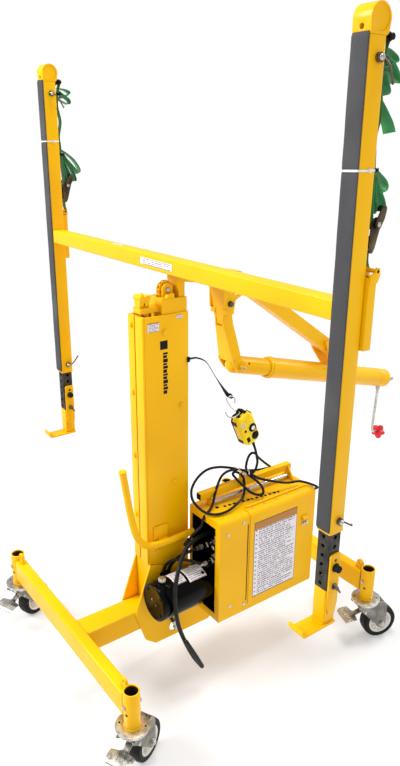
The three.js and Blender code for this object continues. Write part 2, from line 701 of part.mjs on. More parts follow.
// Front web between the flared plates.
function flaredApron() {
  const drop = FLARE_TOP - 1046;
  const run = 29;
  const shape = outline([[-22, 0], [22, 0], [22 + FLARE * drop, -Math.hypot(drop, run)],
    [-22 - FLARE * drop, -Math.hypot(drop, run)]]);
  const geometry = new THREE.ExtrudeGeometry(shape, { depth: 5, bevelEnabled: false });
  geometry.rotateX(Math.PI / 2 + Math.atan2(run, drop));
  geometry.translate(0, 66, FLARE_TOP);
  return solid(geometry);
}

addPart('crossbar', crossbar(), 'paint');
for (const [name, side] of [['left', -1], ['right', 1]]) {
  addPart(`post_${name}`, post(side), 'paint');
  addPart(`head_cap_${name}`, headAssembly(side), 'paint');
  const bailDrop = side > 0 ? -30 : 34;
  addPart(`lock_pin_${name}`,
    lockPin(side * frame.postX + leg.half + 1, -147, lockPinZ.leg, bailDrop), 'zinc');
  addPart(`pad_${name}`, pad(side), 'foam');
}
addPart('tilt_arm', tiltArm(), 'paint');

// ---------------------------------------------------------------- legs and shoes
function perforatedLeg(side) {
  const x = side * frame.postX;
  const middleY = (frame.front + frame.rear) / 2;
  const tube = squareTube(
    x, leg.half, middleY - leg.half, middleY + leg.half, leg.bottom, leg.top, leg.wall);
  const holes = [];
  for (let i = 0; i < leg.holes; i += 1) {
    const z = leg.bottom + 14 + i * leg.holePitch;
    holes.push(bar([x, middleY - 30, z], [x, middleY + 30, z], leg.holeRadius, 8));
    holes.push(bar([x - 30, middleY, z], [x + 30, middleY, z], leg.holeRadius, 8));
  }
  return cut(tube, ...holes);
}

// Shoe: short tube under the leg, a side plate with a keyhole slot, and a sole with an upturned lip.
function legShoe(side) {
  const x = side * frame.postX;
  const middleY = (frame.front + frame.rear) / 2;
  const under = leg.bottom - GAP;
  const tube = squareTube(
    x, leg.half, middleY - leg.half, middleY + leg.half, shoe.soleTop - 1, under, leg.wall);
  const face = x + leg.half;
  const plate = cut(
    block(face + GAP, face + 5.5, middleY - 15, middleY + 18, 640, shoe.plateTop),
    bar([face - 1, middleY + 2, 792], [face + 8, middleY + 2, 792], 4, SMALL),
    block(face - 1, face + 8, middleY - 2, middleY + 6, 770, 792),
  );
  const weld = block(face - 1, face + 3, middleY - 15, middleY + 17, 640, 690);
  const sole = block(
    x - 24, x + 24, shoe.lipFront + 6, shoe.soleRear, shoe.soleTop - shoe.soleThick, shoe.soleTop);
  const lip = plateYZ([
    [shoe.lipFront + 14, shoe.soleTop - shoe.soleThick], [shoe.lipFront + 8, shoe.soleTop + 2],
    [shoe.lipFront + 6, shoe.soleTop + 16], [shoe.lipFront, shoe.soleTop + 16],
    [shoe.lipFront + 2, shoe.soleTop - shoe.soleThick],
  ], x - 24, x + 24);
  const knob = join(
    bar([face + 5, middleY + 2, 771], [face + 9, middleY + 2, 771], 10, ROUND),
    bar([face + 8, middleY + 2, 771], [face + 20, middleY + 2, 771], 8, ROUND),
  );
  const tee = join(
    bar([face + 5, middleY + 3, 718], [face + 18, middleY + 3, 718], 5, SMALL),
    bar([face + 17, middleY - 6, 732], [face + 17, middleY + 16, 698], 3, SMALL),
  );
  return join(tube, plate, weld, sole, lip, knob, tee);
}

for (const [name, side] of [['left', -1], ['right', 1]]) {
  addPart(`leg_${name}`, perforatedLeg(side), 'darkSteel');
  addPart(`shoe_${name}`, legShoe(side), 'paint');
}

// ---------------------------------------------------------------- ratchet straps
// Webbing strip: a ribbon drawn in the Y-Z plane along a smooth line and extruded across the post.
function webbing(points, x, width, thick) {
  const line = new THREE.SplineCurve(points.map(([y, z]) => new THREE.Vector2(y, z)));
  const steps = 4 * (points.length - 1);
  const near = [];
  const far = [];
  for (let i = 0; i <= steps; i += 1) {
    const at = line.getPoint(i / steps);
    const along = line.getTangent(i / steps);
    near.push([at.x - along.y * thick / 2, at.y + along.x * thick / 2]);
    far.unshift([at.x + along.y * thick / 2, at.y - along.x * thick / 2]);
  }
  return plateYZ([...near, ...far], x - width / 2, x + width / 2);
}

// Strap of one post: the run from the cap's roller to the ratchet, with its bundled loops and tail.
function strap(side) {
  const x = side * frame.postX;
  const reach = side > 0 ? 1 : 1.25;
  return join(
    webbing([[-108, 1882], [-116, 1780], [-116, 1660], [-114, 1606]], x, 24, 3),
    webbing([[-110, 1876], [-88, 1868], [-70, 1830], [-92, 1800], [-114, 1796]], x, 23, 3),
    webbing([[-117, 1776], [-98, 1764], [-80, 1738], [-72, 1712]], x, 22, 3),
    webbing([[-116, 1674], [-92, 1668], [-108 + 64 * reach, 1640], [-108 + 54 * reach, 1622],
      [-114, 1644]], x, 22, 3),
  );
}

// Ratchet body: two side plates and a spool behind the post, with a short strap down to the post's hook.
function ratchetFrame(side) {
  const x = side * frame.postX;
  const cheeks = [-18, 15].map((u) => plateYZ(
    [[-122, 1502], [-104, 1498], [-90, 1540], [-96, 1592], [-110, 1600], [-120, 1560]], x + u, x + u + 3));
  return join(
    ...cheeks,
    bar([x - 17, ratchet.y, ratchet.z], [x + 17, ratchet.y, ratchet.z], ratchet.spoolRadius, ROUND),
    bar([x - 17, -112, 1510], [x + 17, -112, 1510], 4, SMALL),
    bar([x - 26, ratchet.y, ratchet.z], [x + 26, ratchet.y, ratchet.z], ratchet.axleRadius, ROUND),
  );
}

function ratchetHandle(side) {
  const x = side * frame.postX;
  const cheeks = [-24, 20].map((u) => {
    const shape = new THREE.Shape();
    shape.absarc(ratchet.y, ratchet.z, 9, Math.PI * 0.85, Math.PI * 1.85, false);
    shape.lineTo(-72, 1604);
    shape.lineTo(-84, 1608);
    return plateYZ(shape, x + u, x + u + 4);
  });
  return cut(
    join(
      ...cheeks,
      bar([x - 22, -80, 1600], [x + 22, -80, 1600], 6, ROUND),
    ),
    bar([x - 30, ratchet.y, ratchet.z], [x + 30, ratchet.y, ratchet.z], ratchet.axleRadius + RUNNING, ROUND),
  );
}

for (const [name, side] of [['left', -1], ['right', 1]]) {
  addPart(`strap_${name}`, strap(side), 'webbing');
  addPart(`ratchet_frame_${name}`, ratchetFrame(side), 'bronze');
  addPart(`ratchet_handle_${name}`, ratchetHandle(side), 'bronze');
}

// ---------------------------------------------------------------- power unit
// Cross-section of the cabinet with its outer top corner rounded.
function cabinetShape(inset) {
  const shape = new THREE.Shape();
  const r = box.corner - inset;
  shape.moveTo(box.left + inset, box.bottom + inset);
  shape.lineTo(box.right - inset, box.bottom + inset);
  shape.lineTo(box.right - inset, box.top - box.corner);
  shape.absarc(box.right - box.corner, box.top - box.corner, r, 0, Math.PI / 2, false);
  shape.lineTo(box.left + inset, box.top - inset);
  return shape;
}

function powerBox() {
  const screws = [[-40, 285], [20, 268], [-52, 557], [10, 577]].map(([y, z]) => bar(
    [box.right - 1, y, z], [box.right + 2.5, y, z], 4.5, SMALL));
  return cut(
    join(plateXZ(cabinetShape(0), box.front, box.rear), ...screws),
    plateXZ(cabinetShape(box.sheet), box.front + box.sheet, box.rear - box.sheet),
    block(58, 187, box.front - 1, box.front + 10, 262, 578),
    block(box.right - 10, box.right + 1, door.front + 10, door.rear - 10, 282, 568),
  );
}

// Door: a cover over the right side that wraps the top corner and swings up on a piano hinge.
function boxDoor() {
  const skin = cut(
    plateXZ(doorShape(GAP + door.thick), door.front, door.rear),
    plateXZ(doorShape(GAP), door.front - 1, door.rear + 1),
  );
  const trim = cut(skin, block(0, door.hingeX - 1, door.front - 2, door.rear + 2, 500, 700),
    block(0, 260, door.front - 2, door.rear + 2, 200, door.bottom));
  const hingeZ = box.top + 5;
  const hinge = bar(
    [door.hingeX, door.front + 6, hingeZ], [door.hingeX, door.rear - 6, hingeZ], door.hingeRadius, SMALL);
  const face = box.right + GAP + door.thick;
  const latch = join(
    block(face - 1, face + 6, 262, 288, 500, 516),
    bar([face + 3, 264, 508], [face + 3, 286, 508], 7, SMALL),
  );
  return join(trim, hinge, latch);
}

function doorShape(offset) {
  const shape = new THREE.Shape();
  shape.moveTo(box.left, box.bottom);
  shape.lineTo(box.right + offset, box.bottom);
  shape.lineTo(box.right + offset, box.top - box.corner);
  shape.absarc(box.right - box.corner, box.top - box.corner, box.corner + offset, 0, Math.PI / 2, false);
  shape.lineTo(box.left, box.top + offset);
  return shape;
}

// Grab rail on two upstands, with a bright bar slung underneath it.
function boxRail() {
  const rail = block(72, 94, -76, 312, 632, 654);
  const front = block(76, 90, -40, -32, box.top + GAP, 633);
  const rear = plateXZ([[70, box.top + GAP], [128, box.top + GAP], [96, 648], [74, 653]], 296, 302);
  const bracket = plateYZ([[96, 633], [120, 633], [124, 668], [114, 676], [98, 668]], 70, 74);
  const hole = bar([60, 112, 660], [80, 112, 660], 5, SMALL);
  const slungBar = bar([100, -30, 618], [100, 297, 618], 6.5, ROUND);
  const barFoot = block(80, 104, -40, -28, box.top + GAP, 622);
  return cut(join(rail, front, rear, bracket, block(70, 94, 96, 120, 633, 652), slungBar, barFoot), hole);
}

function pumpMotor() {
  const length = motor.rear - motor.front;
  const r = motor.radius;
  const profile = [
    [0, 2], [r - 8, 2], [r - 8, 0], [r - 2, 0], [r, 3], [r, length - 3], [r - 3, length], [0, length],
  ];
  const body = turned(profile, [0, 1, 0], [motor.x, motor.front, motor.z], FINE);
  const port = bar([motor.x, filler.y, motor.z + r - 6], [motor.x, filler.y, motor.z + r + 4],
    filler.radius - 1, ROUND);
  const pump = block(motor.x - 56, motor.x + 60, -21, 60, motor.z - 50, motor.z + 176);
  const fittings = [
    bar([94, -20, 462], [94, -70, 462], 9, SMALL),
    bar([94, -40, 462], [94, -56, 462], 13, 6),
    bar([150, -20, 440], [150, -96, 440], 8, SMALL),
    bar([150, -60, 440], [150, -76, 440], 13, 6),
  ];
  return join(body, port, pump, ...fittings);
}

function fillerCap() {
  const z = motor.z + motor.radius + 4 + GAP;
  return join(
    bar([motor.x, filler.y, z], [motor.x, filler.y, z + 9], filler.radius, ROUND),
    bar([motor.x, filler.y, z + 9], [motor.x, filler.y, z + 13], filler.radius, ROUND, filler.radius - 4),
  );
}

// Two hydraulic hoses held together by a clip: one to the cylinder foot, one back to the tank.
function hoses() {
  return join(
    cord([
      [94, -71, 462], [93.5, -82, 461.5], [87, -112, 457], [70, -146, 438], [54, -170, 400], [53, -178, 340],
      [53, -178, 260], [53, -164, 196], [54, -148, 164],
    ], 5.5, 20, 6),
    cord([
      [150, -97, 440], [149.5, -106, 441], [146, -122, 450], [130, -142, 456], [92, -166, 450],
      [60, -188, 420], [53, -196, 360], [53, -184, 306], [51, -140, 300],
    ], 5, 20, 6),
    bar([53, -200, 384], [53, -172, 384], 6.4, SMALL),
    bar([62, -146, 156], [46.5, -146, 156], 9, SMALL),
    bar([59, -146, 156], [51, -146, 156], 13, 6),
  );
}

// Charging lead: hangs in front of the motor and folds back on itself near the floor.
function chargerCord() {
  return cord([
    [118, -60, 524], [122, -100, 524], [130, -147, 516], [148, -184, 498], [172, -217, 470], [190, -240, 428],
    [195, -243, 362], [194, -231, 289], [194, -205, 213], [194, -176, 147], [197, -154, 108], [205, -148, 98],
    [211, -158, 118], [212, -186, 176], [209, -214, 232],
  ], 7, 34, 7);
}

addPart('power_box', powerBox(), 'paint');
addPart('box_door', boxDoor(), 'paint');
addPart('box_rail', boxRail(), 'paint');
addPart('pump_motor', pumpMotor(), 'blackPaint');
addPart('filler_cap', fillerCap(), 'zinc');
addPart('hoses', hoses(), 'blackRubber');
addPart('charger_cord', chargerCord(), 'blackRubber');

// ---------------------------------------------------------------- push handle
function pushHandle() {
  const x = 64;
  const path = [
    [x, -86, 512], [x, -150, 510], [x, -212, 510], [x, -262, 522], [x, -296, 566], [x, -314, 640],
    [x, -326, 720], [x, -338, 800],
  ];
  return join(
    cord(path, 11, 20, 10),
    bar([x, -337.8, 798], [x, -338.6, 804], 12.5, 12),
    block(mast.half + GAP, x + 2, -206, -176, 503, 517),
    block(mast.half + GAP, mast.half + 6, -222, -170, 480, 560),
  );
}

addPart('push_handle', pushHandle(), 'paint');

// ---------------------------------------------------------------- pendant
const pendant = { x: 100, y: 94, z: 848, tilt: 24 };

// Places a solid drawn upright round the origin onto the hanging pendant.
function onPendant(piece) {
  return piece.rotate([pendant.tilt, 0, 0]).translate([pendant.x, pendant.y, pendant.z]);
}

function pendantHousing() {
  const shape = new THREE.Shape();
  shape.moveTo(-34, -52);
  shape.lineTo(-20, -70);
  shape.lineTo(20, -70);
  shape.lineTo(34, -52);
  shape.lineTo(34, 48);
  shape.lineTo(22, 66);
  shape.lineTo(-22, 66);
  shape.lineTo(-34, 48);
  const body = plateYZ(shape, -22, 22);
  const eye = cut(bar([-5, 0, 76], [5, 0, 76], 13, ROUND), bar([-6, 0, 78], [6, 0, 78], 6, SMALL));
  const wells = [[12, -2], [12, -34]].map(([y, z]) => bar([13, y, z], [30, y, z], 11.5, ROUND));
  return onPendant(cut(join(body, eye), ...wells));
}

function pendantButton(z) {
  return onPendant(bar([17, 12, z], [26, 12, z], 11, ROUND));
}

function pendantHook() {
  return cord([
    [64, 28, 988], [72, 38, 1000], [78, 50, 986], [82, 52, 962], [86, 58, 934], [93, 62, 920.5],
    [100, 62.3, 919.3], [108, 62, 921], [113, 60, 929],
  ], 2.4, 20, 6);
}

function pendantStrap() {
  return cord([
    [44.5, -84, 1096], [52, -62, 1114], [56, -34, 1104], [60, -8, 1062], [63, 8, 1018], [62, 20, 994],
  ], 5, 18);
}

function pendantCable() {
  return cord([
    [98, 120, 776], [100, 134, 750], [103, 146, 720], [103, 140, 690], [92, 112, 676], [70, 84, 690],
    [54, 20, 707], [50, -50, 695], [66, -93, 658], [100, -94, 622], [150, -76, 614], [170, -30, 618],
    [150, 40, 624], [124, 90, 640], [112, 120, 676], [116, 100, 700], [130, 120, 680], [142, 180, 642],
    [154, 240, 622], [160, 290, 617], [186, 316, 613], [206, 330, 606], [192, 342, 590], [150, 346, 540],
  ], 4.5, 66, 6);
}

addPart('pendant_housing', pendantHousing(), 'housing');
addPart('button_up', pendantButton(-2), 'white');
addPart('button_down', pendantButton(-34), 'blackRubber');
addPart('pendant_hook', pendantHook(), 'zinc');
addPart('pendant_strap', pendantStrap(), 'blackRubber');
addPart('pendant_cable', pendantCable(), 'blackRubber');

group.position.set(-outlineCentre.x, -outlineCentre.y, 0);

export default group;
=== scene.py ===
import json
import math

import bmesh
import bpy
from mathutils import Matrix, Vector


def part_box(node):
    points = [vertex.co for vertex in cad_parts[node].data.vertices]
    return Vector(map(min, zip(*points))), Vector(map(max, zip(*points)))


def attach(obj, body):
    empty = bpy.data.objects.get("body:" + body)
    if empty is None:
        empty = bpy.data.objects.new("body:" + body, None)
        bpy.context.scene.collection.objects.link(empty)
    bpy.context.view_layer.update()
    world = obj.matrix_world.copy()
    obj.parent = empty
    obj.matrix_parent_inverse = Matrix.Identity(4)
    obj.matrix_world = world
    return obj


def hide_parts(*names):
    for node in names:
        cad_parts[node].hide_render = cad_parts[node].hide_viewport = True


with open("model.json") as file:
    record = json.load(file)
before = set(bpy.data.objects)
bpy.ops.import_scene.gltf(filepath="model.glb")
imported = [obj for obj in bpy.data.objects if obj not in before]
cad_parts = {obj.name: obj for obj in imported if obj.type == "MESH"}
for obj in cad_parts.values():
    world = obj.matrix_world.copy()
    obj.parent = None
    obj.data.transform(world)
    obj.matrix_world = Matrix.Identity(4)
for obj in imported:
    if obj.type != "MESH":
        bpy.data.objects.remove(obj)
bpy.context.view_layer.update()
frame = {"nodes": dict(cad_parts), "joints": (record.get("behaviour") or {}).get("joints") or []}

# Battery-hydraulic panel lifter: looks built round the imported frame.
# Lengths below are millimetres drawn from the mast's centre line (X) and the middle of the wheelbase (Y);
# the frame's own origin is the middle of the outline, and Piece moves and scales everything there.
MM = 0.001
JOINTS = {joint["name"]: joint for joint in frame["joints"]}
SIDES = (("left", -1), ("right", 1))
CORNERS = ("front_right", "front_left", "rear_right", "rear_left")
BOTH = (-1, 1)
ALONG_X, ALONG_Y, ALONG_Z = (1, 0, 0), (0, 1, 0), (0, 0, 1)


def frame_point(name):
    return Vector(JOINTS[name]["pos_m"]) / MM


FRONT_AXLE, REAR_AXLE = frame_point("swivel_front_right"), frame_point("swivel_rear_right")
MIDDLE = Vector((-frame_point("tilt").x, -(FRONT_AXLE.y + REAR_AXLE.y) / 2, 0))


def node_box(node):
    """Lowest and highest corner of a CAD node in millimetres."""
    low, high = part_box(node)
    return low / MM + MIDDLE, high / MM + MIDDLE


def joint_point(name):
    return frame_point(name) + MIDDLE


# ---------------------------------------------------------------- curves and outlines
def turn(angle):
    """Cosine and sine of an angle in degrees."""
    return math.cos(math.radians(angle)), math.sin(math.radians(angle))


def circle(count):
    """Cosine and sine of evenly spaced angles round a full turn."""
    angles = [2 * math.pi * i / count for i in range(count)]
    return [(math.cos(angle), math.sin(angle)) for angle in angles]


def arc(centre, radius, start, end, count=12):
    """Points on a circle between two angles in degrees."""
    turns = [turn(start + (end - start) * i / count) for i in range(count + 1)]
    return [(centre[0] + radius * c, centre[1] + radius * s) for c, s in turns]


def rounded(width, height, radius, count=4):
    """Rectangle about the origin with round corners."""
    a, b = width / 2 - radius, height / 2 - radius
    points = []
    for k, (x, y) in enumerate(((a, b), (-a, b), (-a, -b), (a, -b))):
        points += arc((x, y), radius, 90 * k, 90 * k + 90, count)
    return points


def around(outline, centre, count=48):
    """The outline again, as points at even angles seen from a centre that sees all of it."""
    points = []
    for dx, dy in circle(count):
        best = 0.0
        for (x0, y0), (x1, y1) in zip(outline, outline[1:] + outline[:1]):
            ex, ey = x1 - x0, y1 - y0
            cross = dx * ey - dy * ex
            if abs(cross) < 1e-9:
                continue
            along = ((x0 - centre[0]) * ey - (y0 - centre[1]) * ex) / cross
            share = ((x0 - centre[0]) * dy - (y0 - centre[1]) * dx) / cross
            if -1e-6 <= share <= 1 + 1e-6:
                best = max(best, along)
        points.append((centre[0] + best * dx, centre[1] + best * dy))
    return points


def stand(outline, level, axis):
    """Sets an outline, drawn in the two other axes in X Y Z order, at one level of this axis."""
    order = {"X": (2, 0, 1), "Y": (0, 2, 1), "Z": (0, 1, 2)}[axis]
    return [[(u, v, level)[k] for k in order] for u, v in outline]


def smooth(points, steps=8, closed=False):
    """Catmull-Rom line through the points."""
    points = [Vector(p) for p in points]
    line = []
    count = len(points)
    for i in range(count if closed else count - 1):
        p1, p2 = points[i], points[(i + 1) % count]
        p0 = points[i - 1] if i > 0 or closed else p1 * 2 - p2
        p3 = points[(i + 2) % count] if i + 2 < count or closed else p2 * 2 - p1
        for k in range(steps):
            t = k / steps
            line.append(0.5 * ((2 * p1) + (p2 - p0) * t + (2 * p0 - 5 * p1 + 4 * p2 - p3) * t ** 2
                               + (3 * p1 - p0 - 3 * p2 + p3) * t ** 3))
    return line if closed else line + [points[-1]]


def tangents(line, closed=False):
    """Unit direction of a line at each of its points."""
    last = len(line) - 1
    if closed:
        return [(line[(i + 1) % (last + 1)] - line[i - 1]).normalized() for i in range(last + 1)]
    return [(line[min(i + 1, last)] - line[max(i - 1, 0)]).normalized() for i in range(last + 1)]


def axes_along(direction):
    """Two unit vectors square to a direction."""
    direction = Vector(direction).normalized()
    helper = Vector(ALONG_Z if abs(direction.z) < 0.9 else ALONG_X)
    side = direction.cross(helper).normalized()
    return side, direction.cross(side).normalized()


# ---------------------------------------------------------------- mesh builder
class Piece:
    """One visible piece. Every shape takes the material that is current when it is added."""

    def __init__(self, name, paint, place=None):
        self.name = name
        self.bm = bmesh.new()
        self.uv = self.bm.loops.layers.uv.new("UVMap")
        self.paints = []
        self.place = place or Matrix.Identity(4)
        self.use(paint)

    def use(self, paint):
        if paint not in self.paints:
            self.paints.append(paint)
        self.index = self.paints.index(paint)
        return self

    def vert(self, point):
        return self.bm.verts.new((self.place @ Vector(point) - MIDDLE) * MM)

    def face(self, verts, uvs=()):
        made = self.bm.faces.new(verts)
        made.material_index = self.index
        for loop, uv in zip(made.loops, uvs):
            loop[self.uv].uv = uv

    def loft(self, rings, closed=False, caps=True):
        """Skin through rings of equally many points."""
        loops = [[self.vert(p) for p in ring] for ring in rings]
        pairs = list(zip(loops, loops[1:]))
        if closed:
            pairs.append((loops[-1], loops[0]))
        size = len(loops[0])
        length = [0.0]
        for a, b in zip(rings, rings[1:]):
            length.append(length[-1] + (Vector(b[0]) - Vector(a[0])).length)
        length.append(length[-1])
        for row, (a, b) in enumerate(pairs):
            v0, v1 = length[row] * MM, length[row + 1] * MM
            for i in range(size):
                k = (i + 1) % size
                u0, u1 = i / size, (i + 1) / size
                self.face((a[i], a[k], b[k], b[i]), ((u0, v0), (u1, v0), (u1, v1), (u0, v1)))
        if caps and not closed:
            self.face(loops[0][::-1])
            self.face(loops[-1])
        return self

    def block(self, low, high):
        (x0, y0, z0), (x1, y1, z1) = low, high
        return self.plate([(x0, y0), (x1, y0), (x1, y1), (x0, y1)], z0, z1, "Z")

    def plate(self, outline, start, end, axis="X"):
        """Flat plate between two levels of an axis."""
        return self.loft([stand(outline, level, axis) for level in (start, end)])

    def holed(self, outline, centre, radius, start, end, axis="X", count=48):
        """Flat plate with one round hole."""
        outer = around(outline, centre, count)
        inner = [(centre[0] + radius * c, centre[1] + radius * s) for c, s in circle(count)]
        rings = [(outer, start), (outer, end), (inner, end), (inner, start)]
        return self.loft([stand(ring, level, axis) for ring, level in rings], closed=True)

    def lathe(self, profile, origin, axis, sides=48, closed=False):
        """Turned shape: profile is [radius, distance along the axis]."""
        axis, origin = Vector(axis).normalized(), Vector(origin)
        u, v = axes_along(axis)
        rings = []
        for radius, height in profile:
            radius = max(radius, 0.02)
            centre = origin + axis * height
            rings.append([centre + u * radius * c + v * radius * s for c, s in circle(sides)])
        return self.loft(rings, closed=closed)

    def bar(self, start, end, radius, sides=32, chamfer=0.6):
        start, end = Vector(start), Vector(end)
        length = (end - start).length
        c = min(chamfer, radius * 0.4, length * 0.3)
        profile = [(radius - c, 0), (radius, c), (radius, length - c), (radius - c, length)]
        return self.lathe(profile, start, end - start, sides)

    def hexagon(self, start, end, across):
        """Bolt head or nut with a chamfered rim."""
        start, end = Vector(start), Vector(end)
        length = (end - start).length
        r, c = across / math.sqrt(3), length * 0.15
        return self.lathe([(r - c, 0), (r, c), (r, length - c), (r - 2 * c, length)], start, end - start, 6)

    def sweep(self, line, radius, sides=16, closed=False, section=None):
        """Tube or bar along a line; radius may be a function of the share along it."""
        line = [Vector(p) for p in line]
        directions = tangents(line, closed)
        side, _ = axes_along(directions[0])
        rings = []
        for i, (point, tangent) in enumerate(zip(line, directions)):
            side = (side - tangent * side.dot(tangent)).normalized()
            up = tangent.cross(side)
            r = radius(i / (len(line) - 1)) if callable(radius) else radius
            if section:
                rings.append([point + side * a + up * b for a, b in section])
            else:
                rings.append([point + side * r * c + up * r * s for c, s in circle(sides)])
        return self.loft(rings, closed=closed)

    def cord(self, points, radius, sides=16, steps=8):
        """Round wire or cable that curves through the points."""
        return self.sweep(smooth(points, steps), radius, sides)

    def band(self, line, thick, wide):
        """Flat closed band; thick and wide are half its thickness and half its width."""
        section = [(thick, wide), (-thick, wide), (-thick, -wide), (thick, -wide)]
        return self.sweep(line, 1, closed=True, section=section)

    def ribbon(self, line, across, width, thick):
        """Flat webbing along a line; across gives its width direction at the start and at the end."""
        line = [Vector(p) for p in line]
        first, last = Vector(across[0]), Vector(across[1])
        w, t = width / 2, thick / 2
        half = [(w, t * 0.4), (w - t, t), (0, t * 1.1), (t - w, t), (-w, t * 0.4)]
        section = half + [(-a, -b) for a, b in half]
        rings = []
        for i, (point, tangent) in enumerate(zip(line, tangents(line))):
            wide = first.lerp(last, i / (len(line) - 1))
            wide = (wide - tangent * wide.dot(tangent)).normalized()
            normal = tangent.cross(wide)
            rings.append([point + wide * a + normal * b for a, b in section])
        return self.loft(rings)

    def square_tube(self, low, high, wall, radius, axis="Z", open_ends=True):
        """Square tube with rolled corners."""
        low, high = Vector(low), Vector(high)
        first, second, third = {"X": (1, 2, 0), "Y": (0, 2, 1), "Z": (0, 1, 2)}[axis]
        size, mid = high - low, (low + high) / 2
        edge = 0.5

        def ring(inset, corner, along):
            outline = rounded(size[first] - 2 * inset, size[second] - 2 * inset, corner)
            return stand([(mid[first] + a, mid[second] + b) for a, b in outline], along, axis)

        start, end = low[third], high[third]
        rings = [ring(edge, radius, start), ring(0, radius, start + edge),
                 ring(0, radius, end - edge), ring(edge, radius, end)]
        if open_ends:
            rings += [ring(wall, max(radius - wall, 0.8), level) for level in (end, start)]
        return self.loft(rings, closed=open_ends)

    def weld(self, points, radius=2.6, closed=False):
        """Rippled weld bead along a line."""
        line = [Vector(p) for p in points]
        if closed:
            line.append(line[0])
        bead = []
        for a, b in zip(line, line[1:]):
            steps = max(2, round((b - a).length / WELD_STEP))
            bead += [a.lerp(b, k / steps) for k in range(steps)]
        bead.append(line[-1])
        count = len(bead) - 1
        return self.sweep(bead, lambda t: radius * (0.86 + 0.14 * math.cos(math.pi * t * count)), sides=8)

    def done(self, body, slot, replaces=(), bevel=0.0, cuts=None, crease=32, segments=2):
        """Turns the shapes into an object that rides on a body, with its edges rounded."""
        bmesh.ops.recalc_face_normals(self.bm, faces=self.bm.faces)
        mesh = bpy.data.meshes.new(self.name)
        self.bm.to_mesh(mesh)
        self.bm.free()
        made = bpy.data.objects.new(self.name, mesh)
        bpy.context.scene.collection.objects.link(made)
        for paint in self.paints:
            mesh.materials.append(paint)
        if cuts:
            cutter = cuts.done(None, None)
            modify(made, "BOOLEAN", operation="DIFFERENCE", object=cutter, solver="EXACT")
            bake(made)
            bpy.data.objects.remove(cutter)
        if bevel:
            round_edges(made, bevel, segments, crease, miter_outer="MITER_ARC")
            bake(made)
        shade(made.data, crease)
        if body:
            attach(made, body)
        if replaces:
            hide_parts(*replaces)
        return made


WELD_STEP = 1.6


def modify(obj, kind, **settings):
    modifier = obj.modifiers.new(kind.lower(), kind)
    for key, value in settings.items():
        setattr(modifier, key, value)


def round_edges(obj, bevel, segments, crease, **settings):
    modify(obj, "BEVEL", width=bevel * MM, segments=segments, limit_method="ANGLE",
           angle_limit=math.radians(crease), **settings)


def bake(obj):
    """Applies every modifier."""
    graph = bpy.context.evaluated_depsgraph_get()
    mesh = bpy.data.meshes.new_from_object(obj.evaluated_get(graph), depsgraph=graph)
    old = obj.data
    obj.modifiers.clear()
    obj.data = mesh
    bpy.data.meshes.remove(old)


def shade(mesh, angle):
    mesh.polygons.foreach_set("use_smooth", [True] * len(mesh.polygons))
    mesh.set_sharp_from_angle(angle=math.radians(angle))


def dress(node, paint, bevel=1.2):
    """Gives a CAD node its finish and rounds its edges with modifiers; its mesh stays as it is."""
    obj = frame["nodes"][node]
    for slot in obj.material_slots:
        slot.material = paint
    crease = 32
    shade(obj.data, crease)
    modify(obj, "DECIMATE", decimate_type="DISSOLVE", angle_limit=math.radians(1.0))
    round_edges(obj, bevel, 2, crease, harden_normals=True)


# ---------------------------------------------------------------- materials
def srgb(code):
    """Linear colour from a hex code."""
    parts = [(code >> shift & 255) / 255 for shift in (16, 8, 0)]
    return [c / 12.92 if c <= 0.04045 else ((c + 0.055) / 1.055) ** 2.4 for c in parts] + [1.0]


def brighter(colour, share, lift=0.0):
    return [min(1.0, c * share + lift) for c in colour[:3]] + [1.0]


